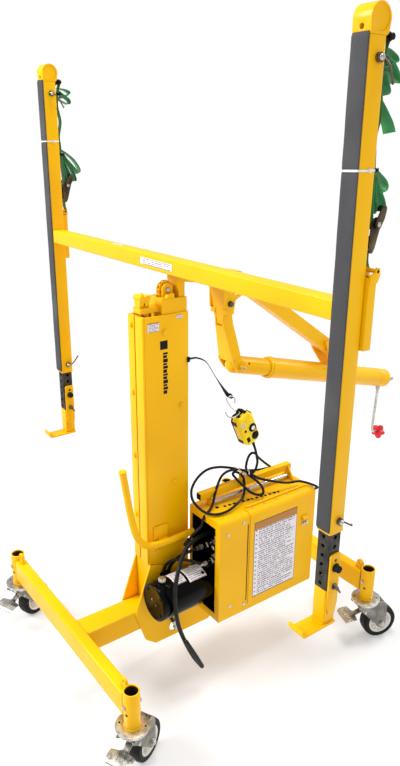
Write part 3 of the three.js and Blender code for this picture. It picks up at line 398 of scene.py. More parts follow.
class Finish:
    """Small helper that wires a procedural material."""

    def __init__(self, name, roughness, metallic=0.0, specular=0.5):
        self.material = bpy.data.materials.new(name)
        self.material.use_nodes = True
        self.tree = self.material.node_tree
        self.shader = self.tree.nodes["Principled BSDF"]
        self.coords = self.tree.nodes.new("ShaderNodeTexCoord").outputs
        self.feed("Roughness", roughness)
        self.feed("Metallic", metallic)
        self.feed("Specular IOR Level", specular)

    def feed(self, key, value, node=None):
        """Links an output into an input of a node, or of the shader, or sets the input's own value."""
        socket = (node or self.shader).inputs[key]
        if isinstance(value, bpy.types.NodeSocket):
            self.tree.links.new(value, socket)
        else:
            socket.default_value = value

    def node(self, kind, output, inputs=(), **settings):
        """Adds a node, sets it up, feeds its inputs and returns one of its outputs."""
        made = self.tree.nodes.new("ShaderNode" + kind)
        for key, value in settings.items():
            setattr(made, key, value)
        for key, value in dict(inputs).items():
            self.feed(key, value, made)
        return made.outputs[output]

    def noise(self, scale, detail=3.0):
        inputs = {"Vector": self.coords["Object"], "Scale": scale, "Detail": detail}
        return self.node("TexNoise", "Fac", inputs)

    def print_axes(self):
        """The piece's own U and V."""
        return [self.node("SeparateXYZ", axis, {"Vector": self.coords["UV"]}) for axis in "XY"]

    def ramp(self, value, low, high, from_value=0.35, to_value=0.65):
        """Colour that goes from low to high as the value rises."""
        made = self.tree.nodes.new("ShaderNodeValToRGB")
        for element, place, colour in zip(made.color_ramp.elements, (from_value, to_value), (low, high)):
            element.position, element.color = place, colour
        self.feed("Fac", value, made)
        return made.outputs["Color"]

    def span(self, value, low, high, from_low=0.3, from_high=0.7):
        """The value carried from one range to another, and held at the ends."""
        return self.node("MapRange", "Result", {"Value": value, "From Min": from_low, "From Max": from_high,
                                                "To Min": low, "To Max": high})

    def math(self, operation, a, b=0.0):
        return self.node("Math", "Value", {0: a, 1: b}, operation=operation)

    def times(self, a, b):
        return self.math("MULTIPLY", a, b)

    def plus(self, a, b):
        return self.math("ADD", a, b)

    def mix(self, share, a, b):
        return self.node("Mix", 2, {0: share, 6: a, 7: b}, data_type="RGBA")

    def edges(self, radius=1.5):
        """Share near 1 along sharp edges, from the difference between the true and a rounded normal."""
        soft = self.node("Bevel", "Normal", {"Radius": radius * MM}, samples=4)
        true = self.node("NewGeometry", "Normal")
        agree = self.node("VectorMath", "Value", {0: soft, 1: true}, operation="DOT_PRODUCT")
        return self.span(agree, 1.0, 0.0, 0.80, 0.97)

    def hollows(self, distance=12.0):
        """Share near 1 in crevices."""
        open_share = self.node("AmbientOcclusion", "AO", {"Distance": distance * MM}, samples=4)
        return self.span(open_share, 1.0, 0.0, 0.35, 0.8)

    def done(self, colour, height, depth, strength, roughness=None):
        """Connects the colour, the bump and, if it varies, the roughness."""
        self.feed("Base Color", colour)
        if roughness:
            self.feed("Roughness", roughness)
        bump = {"Strength": strength, "Distance": depth * MM, "Height": height}
        self.feed("Normal", self.node("Bump", "Normal", bump))
        return self.material


def painted(name, code, shade_code, roughness=0.34, coat=0.08, specular=0.16):
    """Powder coat: slow colour drift, orange peel, painted shade in corners (the paint darkened towards half
    its shade colour), small chips along edges.
    """
    f = Finish(name, roughness, 0.0, specular)
    f.feed("Coat Weight", coat)
    f.feed("Coat Roughness", 0.18)
    drift = f.ramp(f.noise(3.0, 2.0), srgb(shade_code), srgb(code), 0.25, 0.6)
    # painted shade: ambient occlusion darkens the paint in corners and crevices, where shade falls
    corner_shade = f.mix(f.times(f.hollows(), 0.4), drift, brighter(srgb(shade_code), 0.5))
    chips = f.times(f.edges(), f.span(f.noise(140.0, 2.0), 0.0, 1.0, 0.60, 0.66))
    rough = f.span(f.noise(9.0, 4.0), roughness - 0.06, roughness + 0.12)
    return f.done(f.mix(chips, corner_shade, srgb(0x8A6A2A)), f.noise(420.0, 1.0), 0.06, 0.35, rough)


def plated(name, low, high, roughness, scale=34.0):
    """Plated or bare metal with stains and fine scratches."""
    f = Finish(name, roughness, 1.0)
    stains = f.ramp(f.noise(scale, 5.0), srgb(low), srgb(high))
    grimy = f.mix(f.times(f.hollows(5.0), 0.4), stains, srgb(0x2B2723))
    rough = f.span(f.noise(scale * 2.2, 4.0), roughness - 0.08, roughness + 0.16)
    return f.done(grimy, f.noise(scale * 14, 2.0), 0.05, 0.4, rough)


def moulded(name, low, high, roughness, specular=0.3):
    """Moulded plastic or rubber with a fine skin."""
    f = Finish(name, roughness, 0.0, specular)
    skin = f.ramp(f.noise(24.0, 4.0), srgb(low), srgb(high))
    worn = f.mix(f.times(f.edges(0.8), 0.25), skin, brighter(srgb(high), 2.0, 0.02))
    rough = f.span(f.noise(40.0, 4.0), roughness - 0.06, roughness + 0.1)
    return f.done(worn, f.noise(900.0, 2.0), 0.05, 0.5, rough)


def foam_material():
    """Closed-cell rubber strip: speckled charcoal with fine pits and a faint lengthwise rub."""
    f = Finish("foam", 0.9)
    speckle = f.ramp(f.noise(900.0, 2.0), srgb(0x303032), srgb(0x4B4B4D), 0.3, 0.7)
    rub = f.span(f.noise(7.0, 5.0), 0.0, 0.5, 0.45, 0.75)
    pits = f.plus(f.noise(1300.0, 2.0), f.times(f.noise(260.0, 3.0), 0.6))
    return f.done(f.mix(rub, speckle, srgb(0x5E5E60)), pits, 0.35, 0.8)


def webbing_material():
    """Polyester webbing: a herringbone weave in the strip's own coordinates, with darker soiled patches."""
    f = Finish("webbing", 0.62)
    f.feed("Sheen Weight", 0.35)
    across, along = f.print_axes()
    folded = f.math("PINGPONG", f.times(across, 8.0), 1.0)
    twill = f.math("SINE", f.plus(f.times(along, 2600.0), f.times(folded, 7.0)))
    weft = f.math("SINE", f.times(across, 260.0))
    lift = f.plus(f.plus(f.times(twill, 0.35), f.times(weft, 0.2)), 0.5)
    cloth = f.ramp(lift, srgb(0x0F6B33), srgb(0x2FA257), 0.2, 0.8)
    return f.done(f.mix(f.span(f.noise(18.0, 3.0), 0.0, 0.45), cloth, srgb(0x0B4F27)), lift, 0.25, 0.7)


def cable_material(name, pitch, low, high):
    """Cable or hose jacket with a faint spiral and scuffs."""
    f = Finish(name, 0.42, 0.0, 0.25)
    round_share, along = f.print_axes()
    turns = f.plus(f.times(along, pitch), f.times(round_share, 6.2832))
    jacket = f.ramp(f.noise(70.0, 4.0), srgb(low), srgb(high))
    return f.done(jacket, f.math("SINE", turns), 0.12, 0.5, f.span(f.noise(120.0, 3.0), 0.34, 0.58))


def tyre_material():
    """Black tread rubber with dusty patches."""
    f = Finish("tyre", 0.5, 0.0, 0.2)
    dusty = f.mix(f.span(f.noise(55.0, 5.0), 0.0, 0.35, 0.45, 0.7), srgb(0x080808), srgb(0x2C2926))
    return f.done(dusty, f.noise(700.0, 3.0), 0.12, 0.6, f.span(f.noise(90.0, 4.0), 0.36, 0.66))


def label_material(name, header, lines, dots=False):
    """Sticker: a dark rim, perhaps a coloured header band, and broken bars that stand for print."""
    f = Finish(name, 0.35)
    u, v = f.print_axes()
    row = f.times(v, float(lines))
    row_number = f.math("FLOOR", row)
    chance = f.node("TexWhiteNoise", "Value", {"W": row_number}, noise_dimensions="1D")
    reach = f.span(chance, 0.74, 0.95, 0.0, 0.5)
    in_width = f.times(f.math("GREATER_THAN", u, 0.1), f.math("LESS_THAN", u, reach))
    spot = f.node("CombineXYZ", "Vector", {"X": f.times(u, 46.0), "Y": f.times(row_number, 7.3)})
    gaps = f.node("TexNoise", "Fac", {"Vector": spot, "Scale": 1.0, "Detail": 0.0})
    in_row = f.math("LESS_THAN", f.math("FRACT", row), 0.5)
    ink = f.times(f.times(in_row, in_width), f.math("GREATER_THAN", gaps, 0.42))
    if dots:
        bullet = f.times(f.math("LESS_THAN", u, 0.065), f.math("GREATER_THAN", u, 0.03))
        every = f.math("LESS_THAN", f.math("FRACT", f.times(row, 0.5)), 0.3)
        ink = f.math("MAXIMUM", ink, f.times(bullet, every))
    body = f.mix(f.times(ink, 0.8), srgb(0xE6E1E6), srgb(0x3A3648))
    if header:
        body = f.mix(f.math("GREATER_THAN", v, 0.9), body, srgb(header))
    from_middle = [f.math("ABSOLUTE", f.math("SUBTRACT", axis, 0.5)) for axis in (u, v)]
    rim = f.math("GREATER_THAN", f.math("MAXIMUM", *from_middle), 0.492)
    return f.done(f.mix(rim, body, srgb(0x4A3416)), f.noise(300.0, 2.0), 0.03, 0.3)


yellow = painted("yellow_powder_coat", 0xF4BA00, 0xEAAC00)
zinc = plated("zinc_plate", 0xB9B7AC, 0xD6D4CB, 0.3)
bore = plated("primed_bore", 0x3A2E24, 0x5A4B3E, 0.6)
cast_pin = plated("dark_bronze_pin", 0x54443A, 0x7B6A5E, 0.36)
dull_zinc = plated("dull_zinc", 0x706E68, 0x96938A, 0.3)
chrome = plated("chrome", 0xCFD0D2, 0xE4E5E7, 0.14, 30.0)
steel = plated("dull_steel", 0x504D49, 0x77736C, 0.46)
dark_metal = plated("dark_perforated_steel", 0x3C3B39, 0x55534F, 0.52)
bronze = plated("bronze_plate", 0x40372B, 0x6A5D49, 0.38)
brass = plated("brass", 0xA58A46, 0xC9AD66, 0.3)
gloss_black = painted("gloss_black", 0x050505, 0x030303, 0.13, 0.04, 0.09)
rubber = moulded("black_rubber", 0x060607, 0x111113, 0.6, 0.2)
tyre = tyre_material()
hub_white = moulded("hub_plastic", 0xCFCBC0, 0xE2DFD6, 0.5)
red = moulded("red_plastic", 0xC0202A, 0xDB3138, 0.35)
white = moulded("white_plastic", 0xDADAD6, 0xF0F0EC, 0.4)
housing = moulded("pendant_yellow", 0xEFC800, 0xF8DE08, 0.42)
foam = foam_material()
webbing = webbing_material()
cable = cable_material("cable_jacket", 900.0, 0x040405, 0x101012)
hose = cable_material("hose_jacket", 420.0, 0x050506, 0x0E0E10)
big_label = label_material("instruction_label", 0xB2761E, 34, dots=True)
small_label = label_material("small_label", 0xC4622A, 7)
plain_label = label_material("plain_label", None, 9)
bar_label = label_material("bar_label", None, 4)


# ---------------------------------------------------------------- casters
def caster(corner):
    """Caster in its own axes: the wheel trails along +X from the swivel axis, and the floor is Z 0."""
    swivel, roll = joint_point(f"swivel_{corner}"), joint_point(f"roll_{corner}")
    back = roll - swivel
    place = Matrix.Translation((swivel.x, swivel.y, 0)) @ Matrix.Rotation(math.atan2(back.y, back.x), 4, "Z")
    trail = math.hypot(back.x, back.y)
    pin = place.inverted() @ joint_point(f"brake_{corner}")
    caster_fork(corner, place, trail, roll.z, pin)
    caster_wheel(corner, place, trail, roll.z)
    caster_brake(corner, place, pin)


def fork_section(x, trail, axle, top):
    """Half-open section of the pressed fork at one distance from the swivel axis."""
    shelf, front = top - 11, -40.0
    roof = shelf - 12 * max(0.0, (x - trail - 4) / 12) ** 1.5
    if x <= trail - 16:
        share = max(0.0, (x + 36) / (trail + 20))
        sole = max(shelf - 10 - 4 * (x - front), top - 24 - (top - 18 - axle) * share)
    else:
        sole = axle - math.sqrt(max(0.0, 256 - (x - trail) ** 2))
    sole = min(sole, roof - 9)
    outer = [(-30, sole), (-30, roof - 6), (-29, roof - 2.4), (-26.6, roof - 0.6), (-23, roof)]
    inner = [(22.4, roof - 4), (24.8, roof - 5), (26, roof - 7.4), (26, sole)]
    mirrored = [(-y, z) for y, z in outer[::-1]] + inner[::-1] + [(-y, z) for y, z in inner]
    return [(x, y, z) for y, z in outer + mirrored]


def caster_fork(corner, place, trail, axle, pin):
    """Pressed fork: swivel races under the flange, a shelf and two legs that narrow to the axle."""
    top = node_box(f"caster_fork_{corner}")[1].z
    fork = Piece(f"fork_{corner}", zinc, place)
    fork.lathe([(9, -12), (43.6, -12), (44.6, -11), (45.6, -8.2), (45.2, -7), (45.6, -5.8), (46.8, -4.4),
                (46.8, -1), (45.8, 0), (9, 0)], (0, 0, top), ALONG_Z, 72)
    fork.use(chrome).lathe([(44.6, -9.2), (46, -8.6), (46.8, -7), (46, -5.4), (44.6, -4.8)], (0, 0, top),
                           ALONG_Z, 72)
    length = trail + 56
    fork.use(dull_zinc).loft([fork_section(-40.0 + length * k / 48, trail, axle, top) for k in range(49)])
    fork.use(zinc).bar((trail, -39, axle), (trail, 39, axle), 5, 20)
    for side in BOTH:
        out = (0, side, 0)
        fork.hexagon((trail, side * 30, axle), (trail, side * 37, axle), 16)
        fork.lathe([(10.6, 0), (11, 0.5), (11, 1.2), (10.6, 1.6)], (trail, side * 29.9, axle), out, 32)
        fork.lathe([(5, 0), (5, 1.2), (3.4, 2.4)], (pin.x, side * 29.8, pin.z), out, 24)
    fork.bar((pin.x, -29, pin.z), (pin.x, 29, pin.z), 3.4, 20)
    fork.done(f"swivel_{corner}", "zinc", [f"caster_fork_{corner}"], bevel=0.6)


def caster_wheel(corner, place, trail, axle):
    """Black tread, off-white hub ring with webs, grey bearing cap."""
    wheel = Piece(f"wheel_{corner}", tyre, place)
    r = axle - 0.2
    shoulder = [(44, -20), (r - 9, -21.8), (r - 4.6, -21), (r - 2, -18.4), (r - 0.5, -11)]
    rim = [(18.4, -23.4), (19.6, -22.4), (20.6, -16), (27, -14.6), (33, -15), (35.4, -18.6), (38, -20.8),
           (43, -20.8), (45, -19)]
    cap = [(5.5, -23.8), (16, -23.8), (18.2, -22.4)]
    middle = (trail, 0, axle)

    def turned(half, sides, between=()):
        section = half + list(between) + [(a, -b) for a, b in half[::-1]]
        wheel.lathe(section, middle, ALONG_Y, sides, closed=True)

    turned(shoulder, 96, [(r, 0)])
    wheel.use(hub_white)
    turned(rim, 72)
    web = [(20, -1.2), (35, -1.2), (35, 1.2), (20, 1.2)]
    for c, s in circle(12):
        outline = [(trail + u * c - v * s, axle + u * s + v * c) for u, v in web]
        wheel.plate(outline, -18, -14.4, "Y").plate(outline, 14.4, 18, "Y")
    wheel.use(dull_zinc)
    turned(cap, 48)
    wheel.done(f"wheel_{corner}", "tyre", [f"caster_wheel_{corner}"], crease=40)


def caster_brake(corner, place, pin):
    """Pedal: eyes on the fork's cross pin, a stem, and a broad toe plate with a rolled edge."""
    brake = Piece(f"brake_pedal_{corner}", zinc, place)
    x, z = pin.x, pin.z
    side_view = ((-4, 8), (6, 8), (16, 11), (28, 15), (38, 16), (46, 16), (56, 16), (68, 18), (76, 21),
                 (79, 24))
    rings = []
    for p in smooth([(x - back, z - down) for back, down in side_view], 6):
        share = max(0.0, min(1.0, (x - 30 - p.x) / 10))
        half = 11 + 29 * share ** 2 * (3 - 2 * share) - 5 * max(0.0, (x - 70 - p.x) / 9) ** 2
        upper = [(y * half, p.y + 1.5 + 1.5 * share * (abs(y) == 1)) for y in (-1, -0.5, 0.5, 1)]
        rings.append([(p.x, a, b) for a, b in upper + [(a, b - 3) for a, b in upper[::-1]]])
    brake.loft(rings)
    eye = arc((x, z), 7.2, 0, 180, 16) + [(x - 7.2, z - 9), (x + 7.2, z - 9)]
    for y in (-10.4, 10.4):
        brake.holed(eye, (x, z), 3.7, y - 1.3, y + 1.3, "Y", 32)
    for y in range(-30, 31, 10):
        brake.bar((x - 52, y, z - 13.6), (x - 66, y, z - 15.6), 1.5, 10, 0.5)
    brake.done(f"brake_{corner}", "zinc", [f"caster_brake_{corner}"], bevel=0.6)


# ---------------------------------------------------------------- base
BEAM_TOP, BEAM_BOTTOM = 271.0, 195.0


def caster_tube(piece, x, y):
    """Upright tube over a zinc flange with a bolt hole, welded round its foot."""
    flange = [(x + 50 * c, y + 50 * s) for c, s in circle(48)]
    piece.use(zinc).holed(flange, (x, y), 8, 165.2, 169.8, "Z", 96)
    for a in (45, 225):
        c, s = turn(a)
        bolt_hole = (x + 38 * c, y + 38 * s, 169.8)
        piece.use(rubber).lathe([(3.4, 0), (3.4, 0.2), (1, 0.3)], bolt_hole, ALONG_Z, 24)
    foot = (x, y, 0)
    wall = [(20, 168), (24, 168), (24, 289.2), (23.2, 290), (20.8, 290), (20, 289.2)]
    piece.use(yellow).lathe(wall, foot, ALONG_Z, 64, closed=True)
    piece.use(zinc)
    for side in BOTH:
        piece.hexagon((x, y + side * 23, 243), (x, y + side * 30, 243), 12)
    dark_inner_layer = [(19.4, 178), (20.2, 178), (20.2, 286), (19.4, 286)]
    piece.use(bore).lathe(dark_inner_layer, foot, ALONG_Z, 48, closed=True)
    piece.lathe([(2, 178), (20.4, 178), (20.4, 180), (2, 180)], foot, ALONG_Z, 48, closed=True)
    for side in BOTH:
        piece.lathe([(4.2, 0), (4.2, 0.5), (1, 0.5)], (x + 8, y + side * 22.4, 220), (0.34, side, 0), 24)
    piece.use(yellow).weld([(x + 24.6 * c, y + 24.6 * s, 170.4) for c, s in circle(24)], 2.4, closed=True)


def lifting_ear(base, x, y, inward):
    """Holed plate on a beam's top next to a caster tube, and the welds round both."""
    ear = x + inward * 38
    foot = BEAM_TOP - 1
    base.holed([(ear + 17, foot)] + arc((ear, 294), 13, 0, 180, 16) + [(ear - 17, foot)],
               (ear, 293), 5, y - 4, y + 4, "Y")
    for edge in (y - 4.4, y + 4.4):
        base.weld([(ear - 16, edge, BEAM_TOP), (ear + 16, edge, BEAM_TOP)], 2)
    end = x + inward * 21
    for edge in (y - 17, y + 17):
        base.weld([(end, edge, BEAM_BOTTOM + 4), (end, edge, BEAM_TOP - 4)], 2.2)


def base_weldment():
    """H frame: two cross beams with caster tubes, the spine, and the mast's foot plates."""
    base = Piece("base_weldment", yellow)
    xs, ys = (sorted({round(joint_point(f"swivel_{c}")[k], 3) for c in CORNERS}) for k in (0, 1))
    for y in ys:
        base.square_tube((xs[0] + 22.5, y - 19, BEAM_BOTTOM), (xs[1] - 22.5, y + 19, BEAM_TOP),
                         4, 5, "X", False)
        for x in xs:
            caster_tube(base, x, y)
            lifting_ear(base, x, y, -math.copysign(1, x))
    base.square_tube((-40, ys[0] + 18.5, BEAM_BOTTOM), (40, ys[1] - 18.5, BEAM_TOP), 4, 6, "Y", False)
    for y, side in ((ys[0] + 19, 1), (ys[1] - 19, -1)):
        base.weld([(-37, y, BEAM_TOP - 0.5), (37, y, BEAM_TOP - 0.5)], 2.6)
        for x in (-40.3, 40.3):
            base.weld([(x, y + side * 0.5, BEAM_BOTTOM + 5), (x, y + side * 0.5, BEAM_TOP - 5)], 2.4)
    foot_plate = [(-298, 262), (-262, 150), (-222, 118), (2, 118), (14, 150), (14, 262), (-62, 300),
                  (-70, 372), (-238, 430)]
    base.plate(foot_plate, -46, -40)
    base.holed(foot_plate, (-146, 156), 22, 40, 46, "X", 96)
    for x in (-40.6, 40.6):
        base.weld([(x, -236, 434), (x, -74, 374)], 2.4)
        base.weld([(x, -290, BEAM_TOP + 0.5), (x, -242, BEAM_TOP + 0.5)], 2.2)
    base.done("base", "yellow_paint", ["base_frame"], bevel=0.8)


# ---------------------------------------------------------------- mast
def mast():
    """Outer tube with two front strips and its bolts; the inner stages and the ram keep their CAD shape."""
    low, high = node_box("mast_outer")
    outer = Piece("mast_outer_tube", yellow)
    half, front, rear = 39.7, -239.0, high.y
    outer.square_tube((-half, front, low.z), (half, rear, high.z), 4, 5)
    for x0, x1 in ((-half, -6), (0, half)):
        outer.square_tube((x0, front - 6, 432), (x1, front + 0.5, high.z), 2, 1.2, "Z", False)
    for z in range(590, 1212, 207):
        outer.hexagon((-20, front - 5.9, z), (-20, front - 12.4, z), 13)
        outer.lathe([(9.5, 0), (9.5, 1), (8.8, 1.3)], (-20, front - 5.9, z), (0, -1, 0), 32)
    for y, z in ((-170, 1190), (-140, 700), (-112, 952), (-206, 470)):
        outer.hexagon((half, y, z), (half + 6.5, y, z), 14)
        outer.lathe([(10.5, 0), (10.5, 1.1), (9.8, 1.5)], (half, y, z), ALONG_X, 32)
    outer.weld([(half - 2, front + 2, low.z + 2), (half - 2, rear - 4, low.z + 2)], 2.2)
    outer.done("base", "yellow_paint", ["mast_outer"], bevel=0.5)
    dress("mast_middle", yellow, 1.6)
    dress("mast_inner", yellow, 1.6)
    dress("lift_ram", chrome, 0.8)
    dress("lift_cylinder", gloss_black, 1.0)


TEETH = 10


def sprocket_and_chain():
    centre = joint_point("sprocket_turn")
    radius = node_box("lift_chain")[1].z - centre.z - 5
    wheel = Piece("sprocket_wheel", yellow)
    outline = []
    for k, (c, s) in enumerate(circle(TEETH * 8)):
        r = radius - 3.6 + 2.6 * math.cos(2 * math.pi * k / 8)
        outline.append((centre.y + r * c, centre.z + r * s))
    wheel.plate(outline, -2.4, 2.4)
    wheel.lathe([(12, -8.5), (13, -7.8), (13, 7.8), (12, 8.5)], centre, ALONG_X, 40)
    wheel.bar(centre + Vector((-19, 0, 0)), centre + Vector((19.5, 0, 0)), 5)
    wheel.use(zinc).hexagon(centre + Vector((15.7, 0, 0)), centre + Vector((20.4, 0, 0)), 13)
    wheel.done("sprocket", "yellow_paint", ["chain_sprocket"], bevel=0.5)
    roller_chain(centre, radius)


def chain_joints(centre, radius):
    """Places of the chain's pins: up in front of the sprocket, over it and down behind."""
    pitch = 2 * math.pi * radius / TEETH
    first, last = 434.0, 348.0
    z = first + (centre.z - first) % pitch
    joints = []
    while z < centre.z - 1:
        joints.append((centre.y - radius, z))
        z += pitch
    joints += arc((centre.y, centre.z), radius, 180, 0, TEETH // 2)
    z = centre.z - pitch
    while z > last:
        joints.append((centre.y + radius, z))
        z -= pitch
    return joints


def roller_chain(centre, radius):
    joints = chain_joints(centre, radius)
    chain = Piece("roller_chain", yellow)
    for index, (a, b) in enumerate(zip(joints, joints[1:])):
        heading = math.degrees(math.atan2(b[1] - a[1], b[0] - a[0])) + 90
        outline = arc(a, 4.5, heading, heading + 180, 8) + arc(b, 4.5, heading + 180, heading + 360, 8)
        gap = 3.4 if index % 2 else 5.0
        for x in (-gap - 1.4, gap):
            chain.plate(outline, x, x + 1.4)
    for y, z in joints:
        chain.bar((-6.8, y, z), (6.8, y, z), 1.8, 12, 0.4)
        chain.bar((-3.2, y, z), (3.2, y, z), 3.2, 14, 0.3)
    chain.done("lift", "yellow_paint", ["lift_chain"])


# ---------------------------------------------------------------- load frame
def post(name, side):
    """Square upright with the strap channel, its hook and the welds on its back."""
    low, high = node_box(f"leg_{name}")
    x, y = (low.x + high.x) / 2, (low.y + high.y) / 2
    top, bottom, half = 1893.0, 862.0, 22.25
    rear = y + half
    tube = Piece(f"upright_{name}", yellow)
    tube.square_tube((x - half, y - half, bottom), (x + half, rear, top), 2.7, 4.2)
    c0, c1 = sorted((x - side * 8, x + side * 33))
    tube.square_tube((c0, rear - 0.5, 1298), (c1, rear + 22, 1452), 2.5, 2.5)
    h0, h1 = sorted((x + side * 3, x + side * 35))
    hook = [(rear + a, b) for a, b in ((-0.4, 1440), (22, 1440), (29, 1456), (27, 1470), (18, 1472),
                                       (14, 1462), (-0.4, 1458))]
    tube.plate(hook, h0, h0 + 5)
    tube.plate(hook, h1 - 5, h1)
    tube.bar((h0, rear + 21, 1464), (h1, rear + 21, 1464), 4.5, 24)
    for z in (1298, 1452):
        tube.weld([(c0 + 3, rear + 0.8, z), (c1 - 12, rear + 0.8, z)], 1.8)
    edge = x - side * half
    for z in (1359, 1403.5):
        tube.weld([(edge, y - half + 4, z), (edge, rear - 4, z)], 2.2)
    for z in (894, 1856):
        tube.use(steel).lathe([(6.4, -0.4), (6.4, 0.4), (5.2, 0.5)], (x + half, -147, z), ALONG_X, 32)
    tube.done("load_frame", "yellow_paint", [f"post_{name}"], bevel=0.5)
    return x


def label_plate(name, paint, body, slot, centre, right, up, size, thick=0.35, place=None):
    """Thin sticker with its print upright: right and up are unit directions on the surface."""
    piece = Piece(name, paint, place)
    centre, right, up = Vector(centre), Vector(right), Vector(up)
    out = right.cross(up)
    half_right, half_up = right * size[0] / 2, up * size[1] / 2
    corners = [half_right * a + half_up * b for a, b in ((-1, -1), (1, -1), (1, 1), (-1, 1))]
    under, over = ([piece.vert(centre + corner + out * lift) for corner in corners] for lift in (-0.2, thick))
    piece.face(over, ((0, 0), (1, 0), (1, 1), (0, 1)))
    piece.face(under[::-1])
    for i in range(4):
        k = (i + 1) % 4
        piece.face((under[i], under[k], over[k], over[i]), ((0, 0.5),) * 4)
    piece.done(body, slot)


def crossbar():
    low, high = node_box("crossbar")
    tube = Piece("cross_tube", yellow).square_tube(low, high, 3, 4.2, "X")
    tube.done("load_frame", "yellow_paint", ["crossbar"])
    label_plate("cross_tube_label", bar_label, "load_frame", "yellow_paint", (0.0, low.y, 1381.0),
                ALONG_X, ALONG_Z, (168, 20))
    label_plate("cross_tube_top_strip", plain_label, "load_frame", "yellow_paint",
                (-250.0, (low.y + high.y) / 2, high.z), ALONG_X, ALONG_Y, (60, 14), 0.3)


def head_cap(name, x):
    """Hood of a round band between two cheeks, with a dark slot and a strap roller behind."""
    front, top, half = -172.0, 1893.3, 22.25
    cap = Piece(f"hood_{name}", yellow)
    hood = [(front, top), (-127.6, top), (-122, 1899)] + arc((-146, 1921), 27, -20, 180, 30)
    cap.plate(hood, x - half, x + half)
    cheek = [(-130, top), (-121, 1886), (-113, 1884), (-106, 1890), (-106, 1899), (-123, 1933), (-130, 1936)]
    for start in (x - half, x + half - 4):
        cap.plate(cheek, start + 0.1, start + 3.9)
    cuts = Piece(f"hood_cut_{name}", yellow)
    cuts.block((x - 14, -160, 1897), (x + 14, -126, 1924))
    cuts.bar((x, -200, 1907), (x, -130, 1907), 5.5, 32, 0)
    for side in BOTH:
        cuts.bar((x + side * (half - 1.6), -146, 1921), (x + side * (half + 3), -146, 1921), 22.5, 48, 0)
    cap.done("load_frame", "yellow_paint", [f"head_cap_{name}"], bevel=1.2, cuts=cuts, segments=3)

    trim = Piece(f"hood_fittings_{name}", rubber)
    trim.block((x - half + 4.4, -128, 1893.6), (x + half - 4.4, -119, 1922))
    trim.block((x - 13.8, -159, 1897.4), (x + 13.8, -127, 1923.6))
    spool = [(5, -16.3), (8.6, -16), (9, -15), (7.2, -12), (7.2, 12), (9, 15), (8.6, 16), (5, 16.3)]
    trim.lathe(spool, (x, -113, 1893), ALONG_X, 32)
    trim.bar((x - half - 2.6, -113, 1893), (x + half + 2.6, -113, 1893), 6.2)
    trim.use(yellow).square_tube((x - 19, -169, 1822), (x + 19, -131, 1893.6), 3, 3)
    trim.done("load_frame", "yellow_paint")


def quick_pin(name, body, x, z, drop, replaced):
    """Quick-release pin: shank, collar, domed head and a stout wire bail."""
    y = -147
    pin = Piece(name, cast_pin)
    pin.bar((x - 8, y, z), (x + 6, y, z), 5, 24)
    pin.lathe([(5, 0.3), (8.2, 0.3), (8.6, 0.8), (8.6, 2.4), (8, 3)], (x, y, z), ALONG_X, 40)
    pin.use(zinc).lathe([(6.4, 3), (6.4, 8.4), (5.6, 11.4), (3.6, 13.4), (1, 14)], (x, y, z), ALONG_X, 32)
    bail = ((8, 6, 0), (12, 13, 0.16), (12, 22, 0.42), (9, 33, 0.76), (5, 41, 1), (1, 44, 0.94))
    pin.use(cast_pin).cord([(x + a, y + b, z + drop * share) for a, b, share in bail], 2.2, 14, 6)
    pin.sweep([(x + 6.4, y + 7.6 * c, z + 7.6 * s) for c, s in circle(28)], 1.7, 12, closed=True)
    pin.done(body, "zinc", replaced)


def pad(name, tie_height):
    """Foam strip, crowned across, slightly wavy down its length and pinched under the cable tie."""
    low, high = node_box(f"pad_{name}")
    strip = Piece(f"foam_strip_{name}", foam)
    mid, half, thick = (low.x + high.x) / 2, (high.x - low.x) / 2, high.y - low.y
    steps = 150
    rings = []
    for i in range(steps + 1):
        z = low.z + (high.z - low.z) * i / steps
        wave = 0.25 * math.sin(z * 0.031 + low.x) + 0.18 * math.sin(z * 0.083)
        pinch = 1.1 * math.exp(-((z - tie_height) / 5.0) ** 2)
        end = min(1.0, 0.55 + min(z - low.z, high.z - z) / 9.0)
        w = half - 0.2 + 0.12 * math.sin(z * 0.05) - (1 - end) * 1.2
        front = high.y - thick * end + 0.45 - wave * 0.6 + pinch
        ring = [(mid - w, high.y), (mid + w, high.y)]
        for c, s in arc((0, 0), 1, 0, 180, 8):
            ring.append((mid + w * (1 - 0.10 * (1 - abs(c))) * c, front - 0.35 * s + 1.1 * abs(c) ** 6))
        rings.append([(a, b, z) for a, b in ring])
    strip.loft(rings).done("load_frame", "foam", [f"pad_{name}"], crease=50)
    tie = Piece(f"cable_tie_{name}", white)
    centre = (high.y - thick - 129) / 2
    loop = [(mid + a, centre + b, tie_height + a * 0.03) for a, b in rounded(46.2, 49.8, 2.6)]
    tie.band(loop, 0.5, 2.2)
    tie.block((mid + 22, -150, tie_height - 3.2), (mid + 27.2, -143, tie_height + 4.2))
    tie.done("load_frame", "white_plastic", bevel=0.3)


# ---------------------------------------------------------------- boom and tilt jack
CRANK_REACH = 215.0


def jack_place():
    """Jack's own axes: origin at the clevis pin, +Z back along the jack, +Y the way the crank hangs."""
    axis = Vector(JOINTS["crank_turn"]["axis"])
    crank = joint_point("crank_turn")
    distance = (crank.y - node_box("jack_rod")[0].y - 29.0) / axis.y
    place = Matrix((Vector(ALONG_X), Vector((0, axis.z, -axis.y)), axis)).transposed().to_4x4()
    place.translation = crank - axis * distance
    return place, distance


